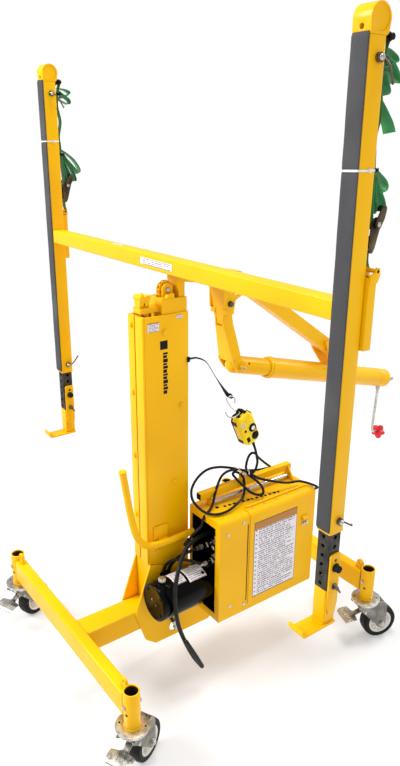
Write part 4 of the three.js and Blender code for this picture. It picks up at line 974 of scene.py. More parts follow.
def jack():
    place, crank_at = jack_place()
    pin = (0, 0, 0)
    tube = Piece("jack_tube_shell", yellow, place)
    shell = [(29.6, 142), (34, 142), (35, 143), (35, 733), (34.4, 734.6), (29.6, 734.6), (29.6, 700),
             (29.6, 300)]
    tube.lathe(shell, pin, ALONG_Z, 72, closed=True)
    tube.lathe([(35.2, 151), (37, 152.5), (37.4, 158), (37, 163.5), (35.2, 165)], pin, ALONG_Z, 72)
    tube.bar((-45, 0, 515), (45, 0, 515), 8)
    for side in BOTH:
        tube.lathe([(13, 0), (13, 5), (12, 6), (8, 6)], (side * 34, 0, 515), (side, 0, 0), 40)
    nipple = [(4, 0), (4, 2.5), (2.2, 4), (2.6, 6), (1.5, 7)]
    tube.use(steel).lathe(nipple, (0, -34.4, 470), (0, -1, 0), 20)
    tube.done("jack_body", "yellow_paint", ["jack_tube"], crease=40)

    rod = Piece("jack_rod_tube", yellow, place)
    r = 29.0
    dome = [(r * s, -r * c) for c, s in (turn(a) for a in range(4, 91, 6))]
    rod.lathe(dome + [(r, 0), (r, 640)], pin, ALONG_Z, 72)
    cuts = Piece("rod_cut", yellow, place)
    cuts.bar((-40, 0, 0), (40, 0, 0), 15, 48, 0)
    cuts.bar((15, -11, 42), (40, -11, 42), 4.6, 24, 0)
    rod.done("jack_rod", "yellow_paint", ["jack_rod"], cuts=cuts, crease=30, bevel=0.7)
    crank_and_knob(place, crank_at)


def crank_and_knob(place, crank_at):
    """Round end cap with its threaded stub, the bent arm that hangs from it, and the five-lobed knob."""
    drop, side = turn(8.5)
    crank = Piece("crank_cap_and_arm", yellow, place)
    cap = [(20, 735.4), (34, 735.4), (35, 736.4), (35, 786), (34.2, 790), (31.5, 795), (27, 799.2),
           (21, 801.6), (8, 802)]
    crank.lathe(cap, (0, 0, 0), ALONG_Z, 72)
    stub = [(8, 798), (8, 838), (7, 840), (6.6, 842), (6.4, 849), (3, 850)]
    crank.use(zinc).lathe(stub, (0, 0, 0), ALONG_Z, 32)
    for k in range(16):
        crank.lathe([(8, 0), (8.5, 0.6), (8, 1.2)], (0, 0, 806 + 2 * k), ALONG_Z, 24)
    arm = ((29, 0), (110, 0), (196, 0), (209, 3), (CRANK_REACH, 11), (CRANK_REACH, 28))
    crank.cord([(side * out, drop * out, crank_at + back) for out, back in arm], 5, 24)
    start, end = (Vector((side * out, drop * out, crank_at)) for out in (31, 47))
    crank.hexagon(start, end, 15.5)
    crank.done("crank", "zinc", ["crank_arm"], crease=35)

    knob = Piece("five_lobe_knob", red, place)
    centre = Vector((side * CRANK_REACH, drop * CRANK_REACH, crank_at))
    profile = ((0.62, 31.2), (0.80, 31.6), (0.93, 33.2), (1.0, 37), (1.0, 45), (0.96, 50), (0.86, 53.6),
               (0.68, 55.4), (0.40, 56))
    lobes = [(24.2 + 4.4 * math.cos(2 * math.pi * k / 16), c, s) for k, (c, s) in enumerate(circle(80))]
    knob.loft([[centre + Vector((share * r * c, share * r * s, lift)) for r, c, s in lobes]
               for share, lift in profile])
    knob.use(zinc).lathe([(5, 55.6), (5, 56.2), (3.2, 56.3)], centre, ALONG_Z, 6)
    knob.done("crank_knob", "red_plastic", ["crank_knob"], crease=50)


def boom():
    """The boom, arm and tilt pin keep their CAD shape; clevis pin, welds and washers are added."""
    dress("tilt_boom", yellow, 2.2)
    dress("tilt_arm", yellow)
    dress("tilt_pin", steel, 0.7)
    clevis = jack_place()[0].translation
    pins = Piece("clevis_pin_ends", zinc)
    for side in BOTH:
        middle = (side * 37.2, clevis.y, clevis.z)
        pins.lathe([(7.5, -1.4), (9, -1), (9, 0.6), (8.4, 1)], middle, (side, 0, 0), 40)
    clip = ((46.6, -3, 4), (48.2, 6, 2), (48, 12, -6), (46.8, 4, -9), (46.6, -8, -2))
    pins.cord([(x, clevis.y + b, clevis.z + c) for x, b, c in clip], 1.2, 10, 5)
    pins.done("load_frame", "zinc")
    pivot = joint_point("tilt")
    seams = Piece("arm_welds", yellow)
    for side in BOTH:
        seams.weld([(side * 37.6, 50, 1224), (side * 35.6, 86, 1220)], 1.8)
        seams.weld([(side * 34.3, -126.2, 1367), (side * 34.3, -126.2, 1391)], 2.2)
        seams.weld([(side * 38.3, 94, 1052), (side * 38.3, 112, 1050)], 1.8)
    seams.done("load_frame", "yellow_paint")
    washers = Piece("pivot_washers", steel)
    for side in BOTH:
        middle = (side * 37.8, pivot.y, pivot.z)
        washers.lathe([(9.4, 0), (9.4, 0.3), (8.6, 0.4), (7, 0.4)], middle, (side, 0, 0), 40)
    washers.done("column", "zinc")


# ---------------------------------------------------------------- legs and shoes
HOLE_PITCH = 25.4


def leg(name):
    low, high = node_box(f"leg_{name}")
    centre = (low + high) / 2
    tube = Piece(f"perforated_leg_{name}", dark_metal)
    tube.square_tube(low, high, 3, 3.4)
    cuts = Piece(f"leg_cut_{name}", dark_metal)
    z = low.z + 14
    while z < high.z - 12:
        cuts.bar((centre.x, low.y - 4, z), (centre.x, high.y + 4, z), 5.5, 24, 0)
        cuts.bar((low.x - 4, centre.y, z), (high.x + 4, centre.y, z), 5.5, 24, 0)
        z += HOLE_PITCH
    tube.done(f"leg_{name}", "dark_steel", [f"leg_{name}"], cuts=cuts, crease=30)


def shoe(name):
    """Foot that holds the panel's lower edge: short tube, sole with an upturned lip, keyhole plate."""
    low, high = node_box(f"shoe_{name}")
    tube_low, tube_high = node_box(f"leg_{name}")
    x, y = (tube_low.x + tube_high.x) / 2, (tube_low.y + tube_high.y) / 2
    face, sole = tube_high.x, low.z + 6
    foot = Piece(f"foot_{name}", yellow)
    foot.square_tube((tube_low.x, tube_low.y, sole - 0.5), (face, tube_high.y, tube_low.z - 0.4), 3, 3.4)
    bend = low.y + 12
    lip = ([(y + 19, low.z), (y + 19, sole), (bend, sole)] + arc((bend, sole + 5), 5, 258, 198, 5)
           + [(low.y + 6.2, sole + 16), (low.y + 0.2, sole + 16)] + arc((bend, low.z + 11), 11, 190, 270, 5))
    foot.plate(lip, x - 24, x + 24)
    top = high.z - 8
    plate = ([(y - 15, 640), (y + 18, 640)] + arc((y + 10, top), 8, 0, 90, 6)
             + arc((y - 7, top), 8, 90, 180, 6))
    foot.holed(plate, (y + 2, 790), 4.6, face + 0.3, face + 5.3, "X", 96)
    foot.block((face - 0.5, y - 14, 641), (face + 1, y + 16, 690))
    foot.weld([(x - 18, tube_low.y - 0.2, sole), (x + 18, tube_low.y - 0.2, sole)], 2)
    foot.weld([(tube_low.x - 0.2, tube_low.y + 3, sole), (tube_low.x - 0.2, tube_high.y - 3, sole)], 2)
    foot.weld([(face + 1.6, y - 15.4, 643), (face + 1.6, y - 15.4, 690)], 2)
    grip = [(6, 5.2), (10.4, 5.6), (11, 6.4), (11, 9), (9.6, 10.4), (8.4, 13), (9, 17), (8.6, 19.6),
            (6, 20.6)]
    foot.use(rubber).lathe(grip, (face, y + 2, 771), ALONG_X, 40)
    foot.use(steel).bar((face + 5, y + 3, 718), (face + 18.4, y + 3, 718), 4.6, 24)
    foot.bar((face + 16.6, y - 7, 733), (face + 16.6, y + 13, 703), 2.7, 20)
    foot.lathe([(8, 5.3), (8.6, 5.7), (8.6, 6.6), (8, 7)], (face, y + 3, 718), ALONG_X, 32)
    foot.done(f"shoe_{name}", "yellow_paint", [f"shoe_{name}"], bevel=0.6)


# ---------------------------------------------------------------- straps and ratchets
FLAT, TURNED, TWISTED, SKEWED = ALONG_X, (0.86, 0.1, 0.5), (0.9, 0.3, 0.2), (0.92, 0.2, 0.3)
LOOSE_END = (1, 0.1, 0)
MAIN_RUN = ((0, -105, 1893), (0, -106, 1886), (0, -111, 1870), (0, -119, 1820), (1, -110, 1768),
            (0, -119, 1720), (0, -117, 1690), (0, -114, 1640), (0, -112, 1606), (0, -109, 1566))
# Each fold of slack: the width direction at its start and end, then its points.
FOLDS = {
    1: (
        (FLAT, TURNED, (0, -112, 1876), (-2, -96, 1872), (-3, -76, 1862), (-2, -73, 1852), (0, -90, 1846),
         (0, -110, 1838)),
        (TWISTED, FLAT, (1, -111, 1858), (3, -92, 1850), (4, -74, 1830), (3, -72, 1818), (0, -92, 1826),
         (-1, -112, 1836)),
        (TURNED, FLAT, (-1, -112, 1842), (-3, -100, 1822), (-3, -88, 1802), (-2, -94, 1796), (0, -110, 1812)),
        (LOOSE_END, (0.9, 0.4, 0.15), (0, -115, 1786), (2, -106, 1774), (4, -96, 1760), (5, -84, 1744),
         (5, -76, 1728)),
        (FLAT, TURNED, (0, -114, 1664), (-1, -100, 1654), (-3, -76, 1638), (-3, -68, 1624), (-1, -78, 1614),
         (0, -102, 1626)),
        (SKEWED, FLAT, (1, -112, 1648), (2, -100, 1626), (3, -84, 1602), (2, -78, 1588), (0, -88, 1582),
         (0, -106, 1604)),
        (TURNED, FLAT, (0, -112, 1640), (0, -106, 1612), (-2, -98, 1584), (-2, -102, 1576), (0, -110, 1590)),
    ),
    -1: (
        (FLAT, TURNED, (0, -112, 1874), (-2, -94, 1872), (-3, -74, 1866), (-2, -70, 1856), (0, -88, 1850),
         (0, -110, 1846)),
        (TWISTED, FLAT, (1, -111, 1862), (3, -94, 1850), (4, -76, 1838), (3, -76, 1826), (0, -94, 1830),
         (-1, -112, 1840)),
        (FLAT, TURNED, (0, -115, 1676), (-1, -96, 1664), (-3, -66, 1640), (-4, -46, 1610), (-3, -50, 1596),
         (-1, -74, 1618), (0, -106, 1650)),
        (SKEWED, FLAT, (1, -113, 1664), (2, -98, 1642), (3, -76, 1604), (3, -66, 1574), (2, -74, 1572),
         (0, -92, 1606), (0, -108, 1640)),
        (TURNED, FLAT, (0, -112, 1652), (0, -103, 1626), (-2, -90, 1590), (-2, -84, 1566), (0, -94, 1570),
         (0, -108, 1620)),
        (FLAT, FLAT, (0, -113, 1648), (0, -109, 1620), (2, -102, 1590), (2, -98, 1566), (0, -106, 1568),
         (0, -112, 1612)),
    ),
}


def strap(name, side):
    """Green webbing from the roller down to the ratchet, with its slack folded into loops."""
    low, high = node_box(f"strap_{name}")
    x = (low.x + high.x) / 2
    web = Piece(f"webbing_{name}", webbing)
    for start, end, *points in ((FLAT, FLAT, *MAIN_RUN), *FOLDS[side]):
        line = smooth([(x + a, b, c) for a, b, c in points], 9)
        web.ribbon(line, (start, end), 25 if start == LOOSE_END else 24, 1.5)
    web.done("load_frame", "webbing", [f"strap_{name}"], crease=60)
    tie = Piece(f"strap_band_{name}", rubber)
    for z in (1856, 1660):
        loop = enumerate(rounded(27, 12, 4))
        tie.band([(x + a, b - 112, z + 1.5 * math.sin(k)) for k, (a, b) in loop], 0.6, 3)
    tie.done("load_frame", "black_rubber")


def ratchet(name):
    """Cheek plates with toothed wheels on an axle, and the U-shaped lever with its grip."""
    axle = joint_point(f"ratchet_lever_{name}")
    x, y, z = axle
    body = Piece(f"ratchet_body_{name}", bronze)
    cheek = ([(y - 17, z - 46)] + arc((y - 9, z - 50), 8, 200, 340, 8) + [(y + 10, z - 14)]
             + arc((y, z), 14, -20, 160, 14) + [(y - 16, z - 6)])
    teeth = []
    for angle in range(0, 360, 30):
        teeth += arc((y, z), 14, angle, angle, 1)[:1] + arc((y, z), 9.4, angle + 4, angle, 1)[:1]
    for outline, start, thick, sides in ((cheek, -17.8, 2.4, 64), (cheek, 15.4, 2.4, 64),
                                         (teeth, -14.6, 2, 96), (teeth, 12.6, 2, 96)):
        body.holed(outline, (y, z), 4.2, x + start, x + start + thick, "X", sides)
    body.bar((x - 25.4, y, z), (x + 25.4, y, z), 3.8, 24)
    body.bar((x - 17, y - 8, z - 46), (x + 17, y - 8, z - 46), 4, 24)
    wound = [(4, -12.2), (10.6, -12.2), (11.2, -11.4), (11.2, 11.4), (10.6, 12.2), (4, 12.2)]
    body.use(webbing).lathe(wound, axle, ALONG_X, 40)
    tail = smooth([(x, y - 8, z - 51), (x, y - 9, z - 60), (x, y - 8, z - 74), (x, y - 4, z - 86)], 6)
    body.ribbon(tail, (FLAT, FLAT), 24, 1.5)
    body.use(bronze).plate([(y - 14, z - 40), (y - 2, z - 44), (y, z - 36), (y - 10, z - 22)], x - 15, x + 15)
    body.done("load_frame", "bronze", [f"ratchet_frame_{name}"], bevel=0.35)

    lever = Piece(f"ratchet_lever_{name}", bronze)
    arm = (arc((y, z), 9.4, 150, 330, 14) + [(y + 17, z + 12)] + arc((y + 14, z + 30), 7, -10, 150, 8)
           + [(y - 4, z + 14)])
    for start in (-23.6, 20.8):
        lever.holed(arm, (y, z), 4.1, x + start, x + start + 2.8, "X", 96)
    lever.bar((x - 23, y + 14, z + 30), (x + 23, y + 14, z + 30), 3.4, 24)
    half_grip = [(5, 18.5), (6.2, 17.5), (6.2, 9), (5.7, 8), (6.2, 7)]
    grip = [(a, -b) for a, b in half_grip] + half_grip[::-1]
    lever.use(rubber).lathe(grip, (x, y + 14, z + 30), ALONG_X, 32)
    lever.use(zinc)
    for start in (-25.6, 23.4):
        lever.lathe([(4.6, 0), (5, 0.5), (5, 1.6), (4.2, 2.2)], (x + start, y, z), ALONG_X, 24)
    lever.done(f"ratchet_{name}", "bronze", [f"ratchet_handle_{name}"], bevel=0.5)


# ---------------------------------------------------------------- power unit
def cabinet():
    """The box and its rail keep their CAD shape; screws, seams, print and gloss-black sheets of painted shade
    inside the box are added.
    """
    for node in ("power_box", "box_door"):
        dress(node, yellow)
    dress("box_rail", yellow, 1.6)
    face, back = 207.0, node_box("power_box")[0].y
    extras = Piece("cabinet_fittings", zinc)
    for y, z in ((-40, 285), (20, 268), (-52, 557), (10, 577)):
        screw = [(5.4, 0), (6, 0.5), (6, 1.0), (4.6, 2.6), (2.4, 3.0)]
        extras.lathe(screw, (face + 0.2, y, z), ALONG_X, 32)
    extras.use(rubber)
    for y in (-77.2, 311.8):
        extras.block((72.6, y, 632.6), (93.4, y + 1.4, 653.4))
    extras.use(chrome).bar((100, -31.5, 618), (100, 298, 618), 7.1)
    extras.use(yellow)
    for x0, x1 in ((60, 61.4), (185.2, 186.4)):
        extras.block((x0, back - 0.8, 262), (x1, back + 0.4, 578))
    extras.weld([(98, 299, 604), (124, 299, 604)], 1.8)
    extras.done("base", "yellow_paint", bevel=0.3)
    seam = Piece("cabinet_panel_gap", rubber)
    seam.block((face - 0.4, 27, 279), (face + 0.25, 30.6, 566))
    seam.done("base", "black_rubber")
    # painted shade: thin gloss-black sheets on the inside of the box's walls, floor and top darken the open
    # interior where shade falls
    dark_inner_layer = Piece("cabinet_interior_painted_shade", gloss_black)
    for low, high in (((49.4, -82, 244), (50, 321, 599)), ((50, -82, 243), (203, 321, 243.8)),
                      ((50, -82, 599.4), (186, 321, 600)), ((203.6, -82, 244), (204.2, 34, 582))):
        dark_inner_layer.block(low, high)
    dark_inner_layer.done("base", "yellow_paint")
    top = Piece("cabinet_top_print", rubber)
    top.block((110, -33, 602.8), (122, -21, 603.3))
    for k in range(13):
        x, y = 119 + 2.4 * k, -6 + 17 * k
        top.block((x, y, 602.8), (x + 10, y + 9 + 2 * (k % 3), 603.3))
    top.done("base", "black_rubber")
    cabinet_door()


def cabinet_door():
    low, high = node_box("box_door")
    hinge = joint_point("door_open")
    knuckles = Piece("door_hinge_knuckles", yellow)
    count = 11
    length = (high.y - low.y - 12) / count
    knuckle = [(3.4, 0.4), (3.9, 1.2), (3.9, length - 1.2), (3.4, length - 0.4)]
    for k in range(count):
        knuckles.lathe(knuckle, (hinge.x, low.y + 6 + k * length, hinge.z), ALONG_Y, 20)
    knuckles.use(zinc)
    for y in range(60, 261, 50):
        knuckles.lathe([(3.4, 0), (3.0, 1.2), (1.6, 1.6)], (188, y, 605.2), ALONG_Z, 20)
    knuckles.done("door", "yellow_paint")
    latch = Piece("door_latch", zinc)
    latch.block((209.2, 266, 480), (211.0, 292, 494))
    pull = [(211.2, 270, 487), (216, 271, 488), (217.4, 277, 489), (215.4, 284, 489), (211.2, 288, 488)]
    latch.cord(pull, 2.6, 12, 6)
    latch.done("door", "zinc", bevel=0.5)
    label_plate("cabinet_label", big_label, "door", "yellow_paint", (209.35, 147, 421), ALONG_Y, ALONG_Z,
                (186, 282), 0.45)


def motor():
    """Glossy can with a slotted end plate, the pump behind it, its ports and its printed wraps."""
    front = node_box("pump_motor")[0].y
    cap = joint_point("filler_cap_turn")
    x, z, r = cap.x, 352.0, 62.0
    body = Piece("motor_can", gloss_black)
    profile = [(18, 2.4), (r - 9, 2), (r - 7.5, 0.2), (r - 2.5, 0.2), (r - 0.6, 1.6), (r, 4), (r, 34),
               (r - 1, 35), (r - 1, 37.5), (r, 38.5), (r, 212), (r - 1.2, 213.5), (r - 1.2, 217),
               (r, 218.4), (r, 254), (r - 3, 257), (20, 257)]
    body.lathe(profile, (x, front, z), ALONG_Y, 96)
    body.lathe([(11.5, -12), (11.5, 0), (10.6, 4)], (x, cap.y, z + r), ALONG_Z, 40)
    for c, s in (turn(a) for a in (40, 140, 220, 320)):
        body.hexagon((x + 46 * c, front + 2, z + 46 * s), (x + 46 * c, front, z + 46 * s), 8)
    body.use(brass).lathe([(2.2, 2.0), (2.8, 1.0), (2.2, 0.4)], (x + 12, front, z - 4), ALONG_Y, 20)
    body.lathe([(3.4, 2.4), (3.4, 0.4), (2.6, 0)], (x - 10, front, z + 6), ALONG_Y, 20)
    body.use(gloss_black).block((x - 56, -21, z - 50), (x + 60, 59, z + 176))
    pump_ports(body.use(chrome))
    body.use(white).block((100, -23.4, 474), (124, -20.6, 488))
    body.done("base", "black_paint", ["pump_motor"], bevel=0.3, crease=40)
    for name, paint, lift, span, angles in (("near", plain_label, 0.35, (-214, -172), (60, 122)),
                                            ("far", plain_label, 0.35, (-164, -98), (52, 112)),
                                            ("square", rubber, 0.7, (-112, -101), (60, 70))):
        motor_wrap(name, paint, (x, z, r + lift), span, angles)
    filler_plug(cap)


def pump_ports(body):
    """Hose stubs and nuts on the pump's front face."""
    stubs = ((94, 462, -20, -69.8, 7.6, 28), (150, 440, -20, -95.6, 7, 28), (150, 486, -22, -64, 6, 24),
             (118, 428, -22, -40, 9, 24))
    for x, z, start, end, radius, sides in stubs:
        body.bar((x, start, z), (x, end, z), radius, sides)
    nuts = ((94, 462, -38, -56, 22), (94, 462, -20, -28, 24), (150, 440, -58, -76, 20),
            (150, 440, -20, -29, 22), (150, 486, -60, -70, 15), (118, 428, -38, -46, 14))
    for x, z, start, end, across in nuts:
        body.hexagon((x, start, z), (x, end, z), across)
    body.lathe([(11, 0), (11, 7), (8.4, 7.6), (8.4, 4)], (122, -21, 506), (0, -1, 0), 32)


def filler_plug(cap):
    """Knurled cap on the motor's filler neck."""
    plug = Piece("filler_plug", zinc)
    base = node_box("filler_cap")[0].z
    rings = []
    for share, lift in ((0.93, 0.0), (1, 0.8), (1, 8.6), (0.94, 10), (0.8, 12.2), (0.3, 12.8)):
        ring = []
        for k, (c, s) in enumerate(circle(64)):
            radius = 12 * share * (1.0 if k % 2 else 0.955)
            ring.append((cap.x + radius * c, cap.y + radius * s, base + lift))
        rings.append(ring)
    plug.loft(rings).done("cap", "zinc", ["filler_cap"])


def motor_wrap(name, paint, can, span, angles):
    """Sticker bent round the can, with its print running along the can."""
    x, z, radius = can
    wrap = Piece(f"motor_label_{name}", paint)
    count = 14
    rows = []
    for k in range(count + 1):
        c, s = turn(angles[1] + (angles[0] - angles[1]) * k / count)
        rows.append([wrap.vert((x + radius * c, y, z + radius * s)) for y in span])
    for k, ((a, b), (d, e)) in enumerate(zip(rows, rows[1:])):
        before, after = 1 - k / count, 1 - (k + 1) / count
        wrap.face((a, d, e, b), ((0, before), (0, after), (1, after), (1, before)))
    made = wrap.done("base", "black_paint")
    modify(made, "SOLIDIFY", thickness=0.3 * MM, offset=-1)
    bake(made)
    shade(made.data, 40)


def hose_lines():
    """Two hydraulic hoses from the pump's ports to the cylinder's foot, tied once."""
    lines = Piece("hydraulic_hoses", hose)
    long = [(94, -70, 462), (93.5, -82, 461.5), (87, -112, 457), (70, -146, 438), (54, -170, 400),
            (53, -178, 340), (53, -178, 260), (53, -164, 196), (54, -148, 164)]
    short = [(150, -96, 440), (149.5, -106, 441), (146, -122, 450), (130, -142, 456), (92, -166, 450),
             (60, -188, 420), (53, -196, 360), (53, -184, 306), (51, -140, 300)]
    lines.cord(long, 5.5, 24, 12).cord(short, 5.0, 24, 12)
    lines.use(zinc)
    for start, end, radius in (((94, -70, 462), (93.5, -92, 461.3), 7.4),
                               ((150, -96, 440), (149.3, -116, 442.5), 6.8),
                               ((53.4, -158, 184), (54.2, -146, 160), 7.4)):
        lines.bar(start, end, radius, 28)
    lines.hexagon((94, -70.2, 462), (94, -78, 462), 17)
    lines.hexagon((150, -96, 440), (150, -103, 440.3), 15)
    lines.lathe([(9, 0), (9.2, 1), (9.2, 14.6), (9, 15.4)], (62, -146, 156), (-1, 0, 0), 32)
    lines.hexagon((59.5, -146, 156), (50.5, -146, 156), 22)
    tie = [(53, -170), (58.5, -172), (60.5, -186), (58.5, -202), (53, -204), (47.5, -202), (46.2, -186),
           (47.5, -172)]
    lines.use(rubber).band(smooth([(a, b, 384) for a, b in tie], 5, closed=True), 0.7, 4.5)
    lines.done("base", "black_rubber", ["hoses"], crease=40)


def charger_lead():
    """Mains lead that hangs in front of the motor, turns back near the floor and ends in its cut tip."""
    lead = Piece("charger_lead", cable)
    path = [(118, -60, 524), (122, -100, 524), (130, -147, 516), (148, -184, 498), (172, -217, 470),
            (190, -240, 428), (195, -243, 362), (194, -231, 289), (194, -205, 213), (194, -176, 147),
            (197, -154, 108), (205, -148, 98), (211, -158, 118), (212, -186, 176), (209, -214, 232)]
    lead.cord(path, 6.8, 24, 10).use(brass)
    for side in BOTH:
        lead.bar((209 + 2.2 * side, -213.6, 231), (208.8 + 2.2 * side, -216.4, 238), 0.9, 10, 0.2)
    lead.done("base", "black_rubber", ["charger_cord"], crease=40)


def handle():
    """Bent push bar with a closed tip, bolted to the mast's side."""
    x = 64.0
    rail = Piece("push_bar", yellow)
    path = ((-86, 512), (-150, 510), (-212, 510), (-262, 522), (-296, 566), (-314, 640), (-326, 720),
            (-338, 800))
    rail.cord([(x, y, z) for y, z in path], 11, 40, 12)
    tip = [(11, 0), (12.3, 0.5), (12.5, 1.5), (12.5, 5), (11.6, 6), (4, 6.2)]
    rail.lathe(tip, (x, -337.4, 796), (0, -0.14, 0.99), 40)
    rail.block((40.1, -206, 503), (x, -176, 517))
    rail.square_tube((40.1, -222, 480), (46, -170, 560), 2, 2, "Z", False)
    for z in (486, 554):
        rail.hexagon((46, -214, z), (50, -214, z), 9)
    rail.weld([(46.4, -205, 518), (62, -205, 518)], 1.8)
    rail.weld([(x + 11.6 * c, -86.6, 512 + 11.6 * s) for c, s in circle(24)], 1.8, closed=True)
    rail.done("base", "yellow_paint", ["push_handle"], bevel=0.3, crease=35)


# ---------------------------------------------------------------- pendant
def pendant():
    """Hand control on its hook, drawn in its own axes: buttons face +X, the hook is at +Z."""
    place = Matrix.Translation((100, 94, 848)) @ Matrix.Rotation(math.radians(24), 4, "X")
    outline = [(-33, -46), (-20, -61), (20, -61), (33, -46), (33, 38), (21, 55), (-21, 55), (-33, 38)]

    def shell(piece, levels):
        piece.loft([[(x, a * (1 - inset / 34), b * (1 - inset / 60)) for a, b in outline]
                    for x, inset in levels])

    body = Piece("pendant_shell", housing, place)
    shell(body, ((-12, 0.4), (-10, 0), (8, 0.3), (13, 1.2), (17, 3.2), (20.4, 6.4), (22, 9.4)))
    cuts = Piece("pendant_cut", housing, place)
    for z in (-2, -34):
        cuts.bar((13, 12, z), (40, 12, z), 11.4, 40, 0)
    body.done("base", "yellow_plastic", ["pendant_housing"], bevel=1.6, cuts=cuts, segments=3)
    trim = Piece("pendant_trim", rubber, place)
    shell(trim, ((-22, 5), (-20.6, 2), (-17, 0.4), (-12.2, 0)))
    for side in BOTH:
        for z in (-44, 28):
            trim.block((-13, side * 32.6 - 1, z), (10, side * 32.6 + 1, z + 14))
        trim.block((-13, side * 13 - 5, 54), (12, side * 13 + 5, 57.4))
    trim.holed(arc((0, 63), 11, -60, 240, 40), (0, 64), 6, -4, 4)
    for z, inner, outer, top, cut in ((-2, 11.4, 14.6, 23.6, 0.8), (-34, 11.6, 14, 23, 0.6)):
        collar = [(inner, 19.4), (inner, top - cut), (inner + cut, top), (outer - cut, top),
                  (outer, top - cut), (outer, 19.4)]
        trim.lathe(collar, (0, 12, z), ALONG_X, 48, closed=True)
    trim.block((19, -23, -42), (22.5, -11, -24))
    trim.bar((21, -17, 2), (23.4, -17, 2), 4.4, 28)
    trim.lathe([(7, 0), (7, 8), (5.6, 12), (5.2, 20), (4.7, 24)], (0, 6, -58), (0, 0, -1), 32)
    trim.done("base", "black_rubber", crease=40)
    label_plate("pendant_sticker", plain_label, "base", "white_plastic", (21.9, -17, 26), ALONG_Y, ALONG_Z,
                (16, 12), 0.3, place)
    for name, z, slot in (("up", -2, "white_plastic"), ("down", -34, "black_rubber")):
        button = Piece(f"push_button_{name}", rubber, place)
        dome = [(10.9, 17.2), (11, 24.2), (10.2, 25.4), (8.6, 26), (6, 25.7), (2, 25.6)]
        button.lathe(dome, (0, 12, z), ALONG_X)
        if name == "up":
            button.use(white).lathe([(7.4, 25.6), (7.4, 26.1), (4, 26.2)], (0, 12, z), ALONG_X, 32)
        button.done(f"button_{name}", slot, [f"button_{name}"])
    pendant_hanger()
    pendant_lead()


def pendant_hanger():
    """Wire hook through the pendant's eye and the flat strap from the mast, which twists before the hook."""
    hook = Piece("pendant_wire_hook", zinc)
    hook.cord([(66, 75, 923), (66, 77, 934), (66, 68, 946), (66, 54, 949), (67, 42, 943), (72, 48, 927),
               (80, 58, 911), (92, 66, 904), (103, 66, 903), (104, 50, 895), (99, 37, 893), (98, 22, 902),
               (98, 14, 916)], 1.8)
    hook.done("base", "zinc", ["pendant_hook"])
    lanyard = Piece("pendant_lanyard", rubber)
    line = smooth([(41, -86, 1092), (43, -77, 1094), (46, -56, 1092), (50, -26, 1074), (54, 6, 1023),
                   (59, 40, 970), (62, 56, 950)], 10)
    edge_on, face_on = (-0.8, 0.3, 0.12), (0.42, 0.57, 0.7)
    lanyard.ribbon(line[:41], (edge_on, edge_on), 11, 1.8)
    lanyard.ribbon(line[40:], (edge_on, face_on), 11, 1.8)
    lanyard.block((40.2, -92, 1084), (43, -82, 1100))
    ring = smooth([(60, 46, 955), (63, 56, 946), (66, 64, 943), (65, 66, 948), (62, 60, 956)], 5, closed=True)
    lanyard.sweep(ring, 2.4, 12, closed=True)
    lanyard.done("base", "black_rubber", ["pendant_strap"], crease=50)


def pendant_lead():
    """One long cable: down from the pendant, coiled and tied, then round the box and into its back."""
    lead = Piece("pendant_lead", cable)
    first_fall = [(100, 128, 787), (100, 133, 775), (101, 141, 752), (102, 146, 729), (104, 148, 711),
                  (104, 144, 692), (102, 138, 678), (97, 130, 673), (90, 119, 677), (84, 106, 683)]
    forward_loop = [(70, 85, 689), (62, 56, 699), (54, 21, 707), (50, -17, 708), (50, -50, 695),
                    (56, -77, 676), (66, -93, 658), (80, -98, 637), (100, -92, 619), (132, -86, 612),
                    (155, -71, 611), (165, -45, 611), (165, -12, 614), (150, 40, 620), (126, 74, 620),
                    (108, 92, 638), (95, 98, 660), (87, 92, 674), (79, 76, 684)]
    side_loop = [(80, 64, 680), (92, 68, 668), (112, 81, 647), (136, 97, 627), (154, 112, 621),
                 (158, 129, 622), (150, 137, 631), (138, 136, 643), (118, 127, 658), (96, 116, 670)]
    rear_loop = [(66, 140, 664), (60, 190, 650), (62, 240, 644), (66, 250, 642), (72, 208, 678),
                 (80, 174, 709), (85, 154, 731), (86, 138, 738), (84, 126, 727), (84, 118, 704),
                 (92, 114, 686)]
    to_the_back = [(118, 138, 661), (142, 180, 646), (154, 240, 626), (160, 290, 619), (186, 316, 613),
                   (206, 330, 606), (192, 342, 590), (150, 346, 560)]
    lead.cord(first_fall + forward_loop + side_loop + rear_loop + to_the_back, 4.2, 20)
    to_the_front = [(74, 96, 686), (76, 52, 694), (78, 23, 688), (84, 2, 670), (96, -20, 644),
                    (112, -42, 618), (124, -66, 606), (128, -88, 594), (128, -98, 566), (120, -118, 545),
                    (110, -131, 521)]
    lead.cord(to_the_front, 4.2, 20)
    lead.use(rubber).bar((109, -132, 519), (98, -140, 496), 7, 24)
    lead.use(white)
    for x, y, z in ((78, 84, 686), (92, 112, 678)):
        lead.band([(x + u, y + 0.3 * u, z + v) for u, v in rounded(22, 17, 7, 5)], 0.6, 2.2)
    lead.done("base", "black_rubber", ["pendant_cable"], crease=40)


# ---------------------------------------------------------------- signs on the mast
def mast_signs():
    """Stickers on the mast's right face: a small label, a tag, a plain square and a line of bars."""
    face = 39.7
    for name, y, z, size in (("mast_top_label", -208, 1209, (40, 27)), ("mast_tag", -118, 1229, (20, 12))):
        label_plate(name, small_label, "base", "yellow_paint", (face, y, z), ALONG_Y, ALONG_Z, size)
    marks = Piece("mast_print", rubber)
    marks.block((face - 0.2, -186, 1138), (face + 0.3, -160, 1164))
    top = 1128.0
    for index in range(12):
        length = 6.0 + 2.5 * (index % 3)
        marks.block((face - 0.2, -176, top - length), (face + 0.3, -160 - 3 * (index % 2), top))
        top -= length + 2.4
    marks.done("base", "black_rubber")


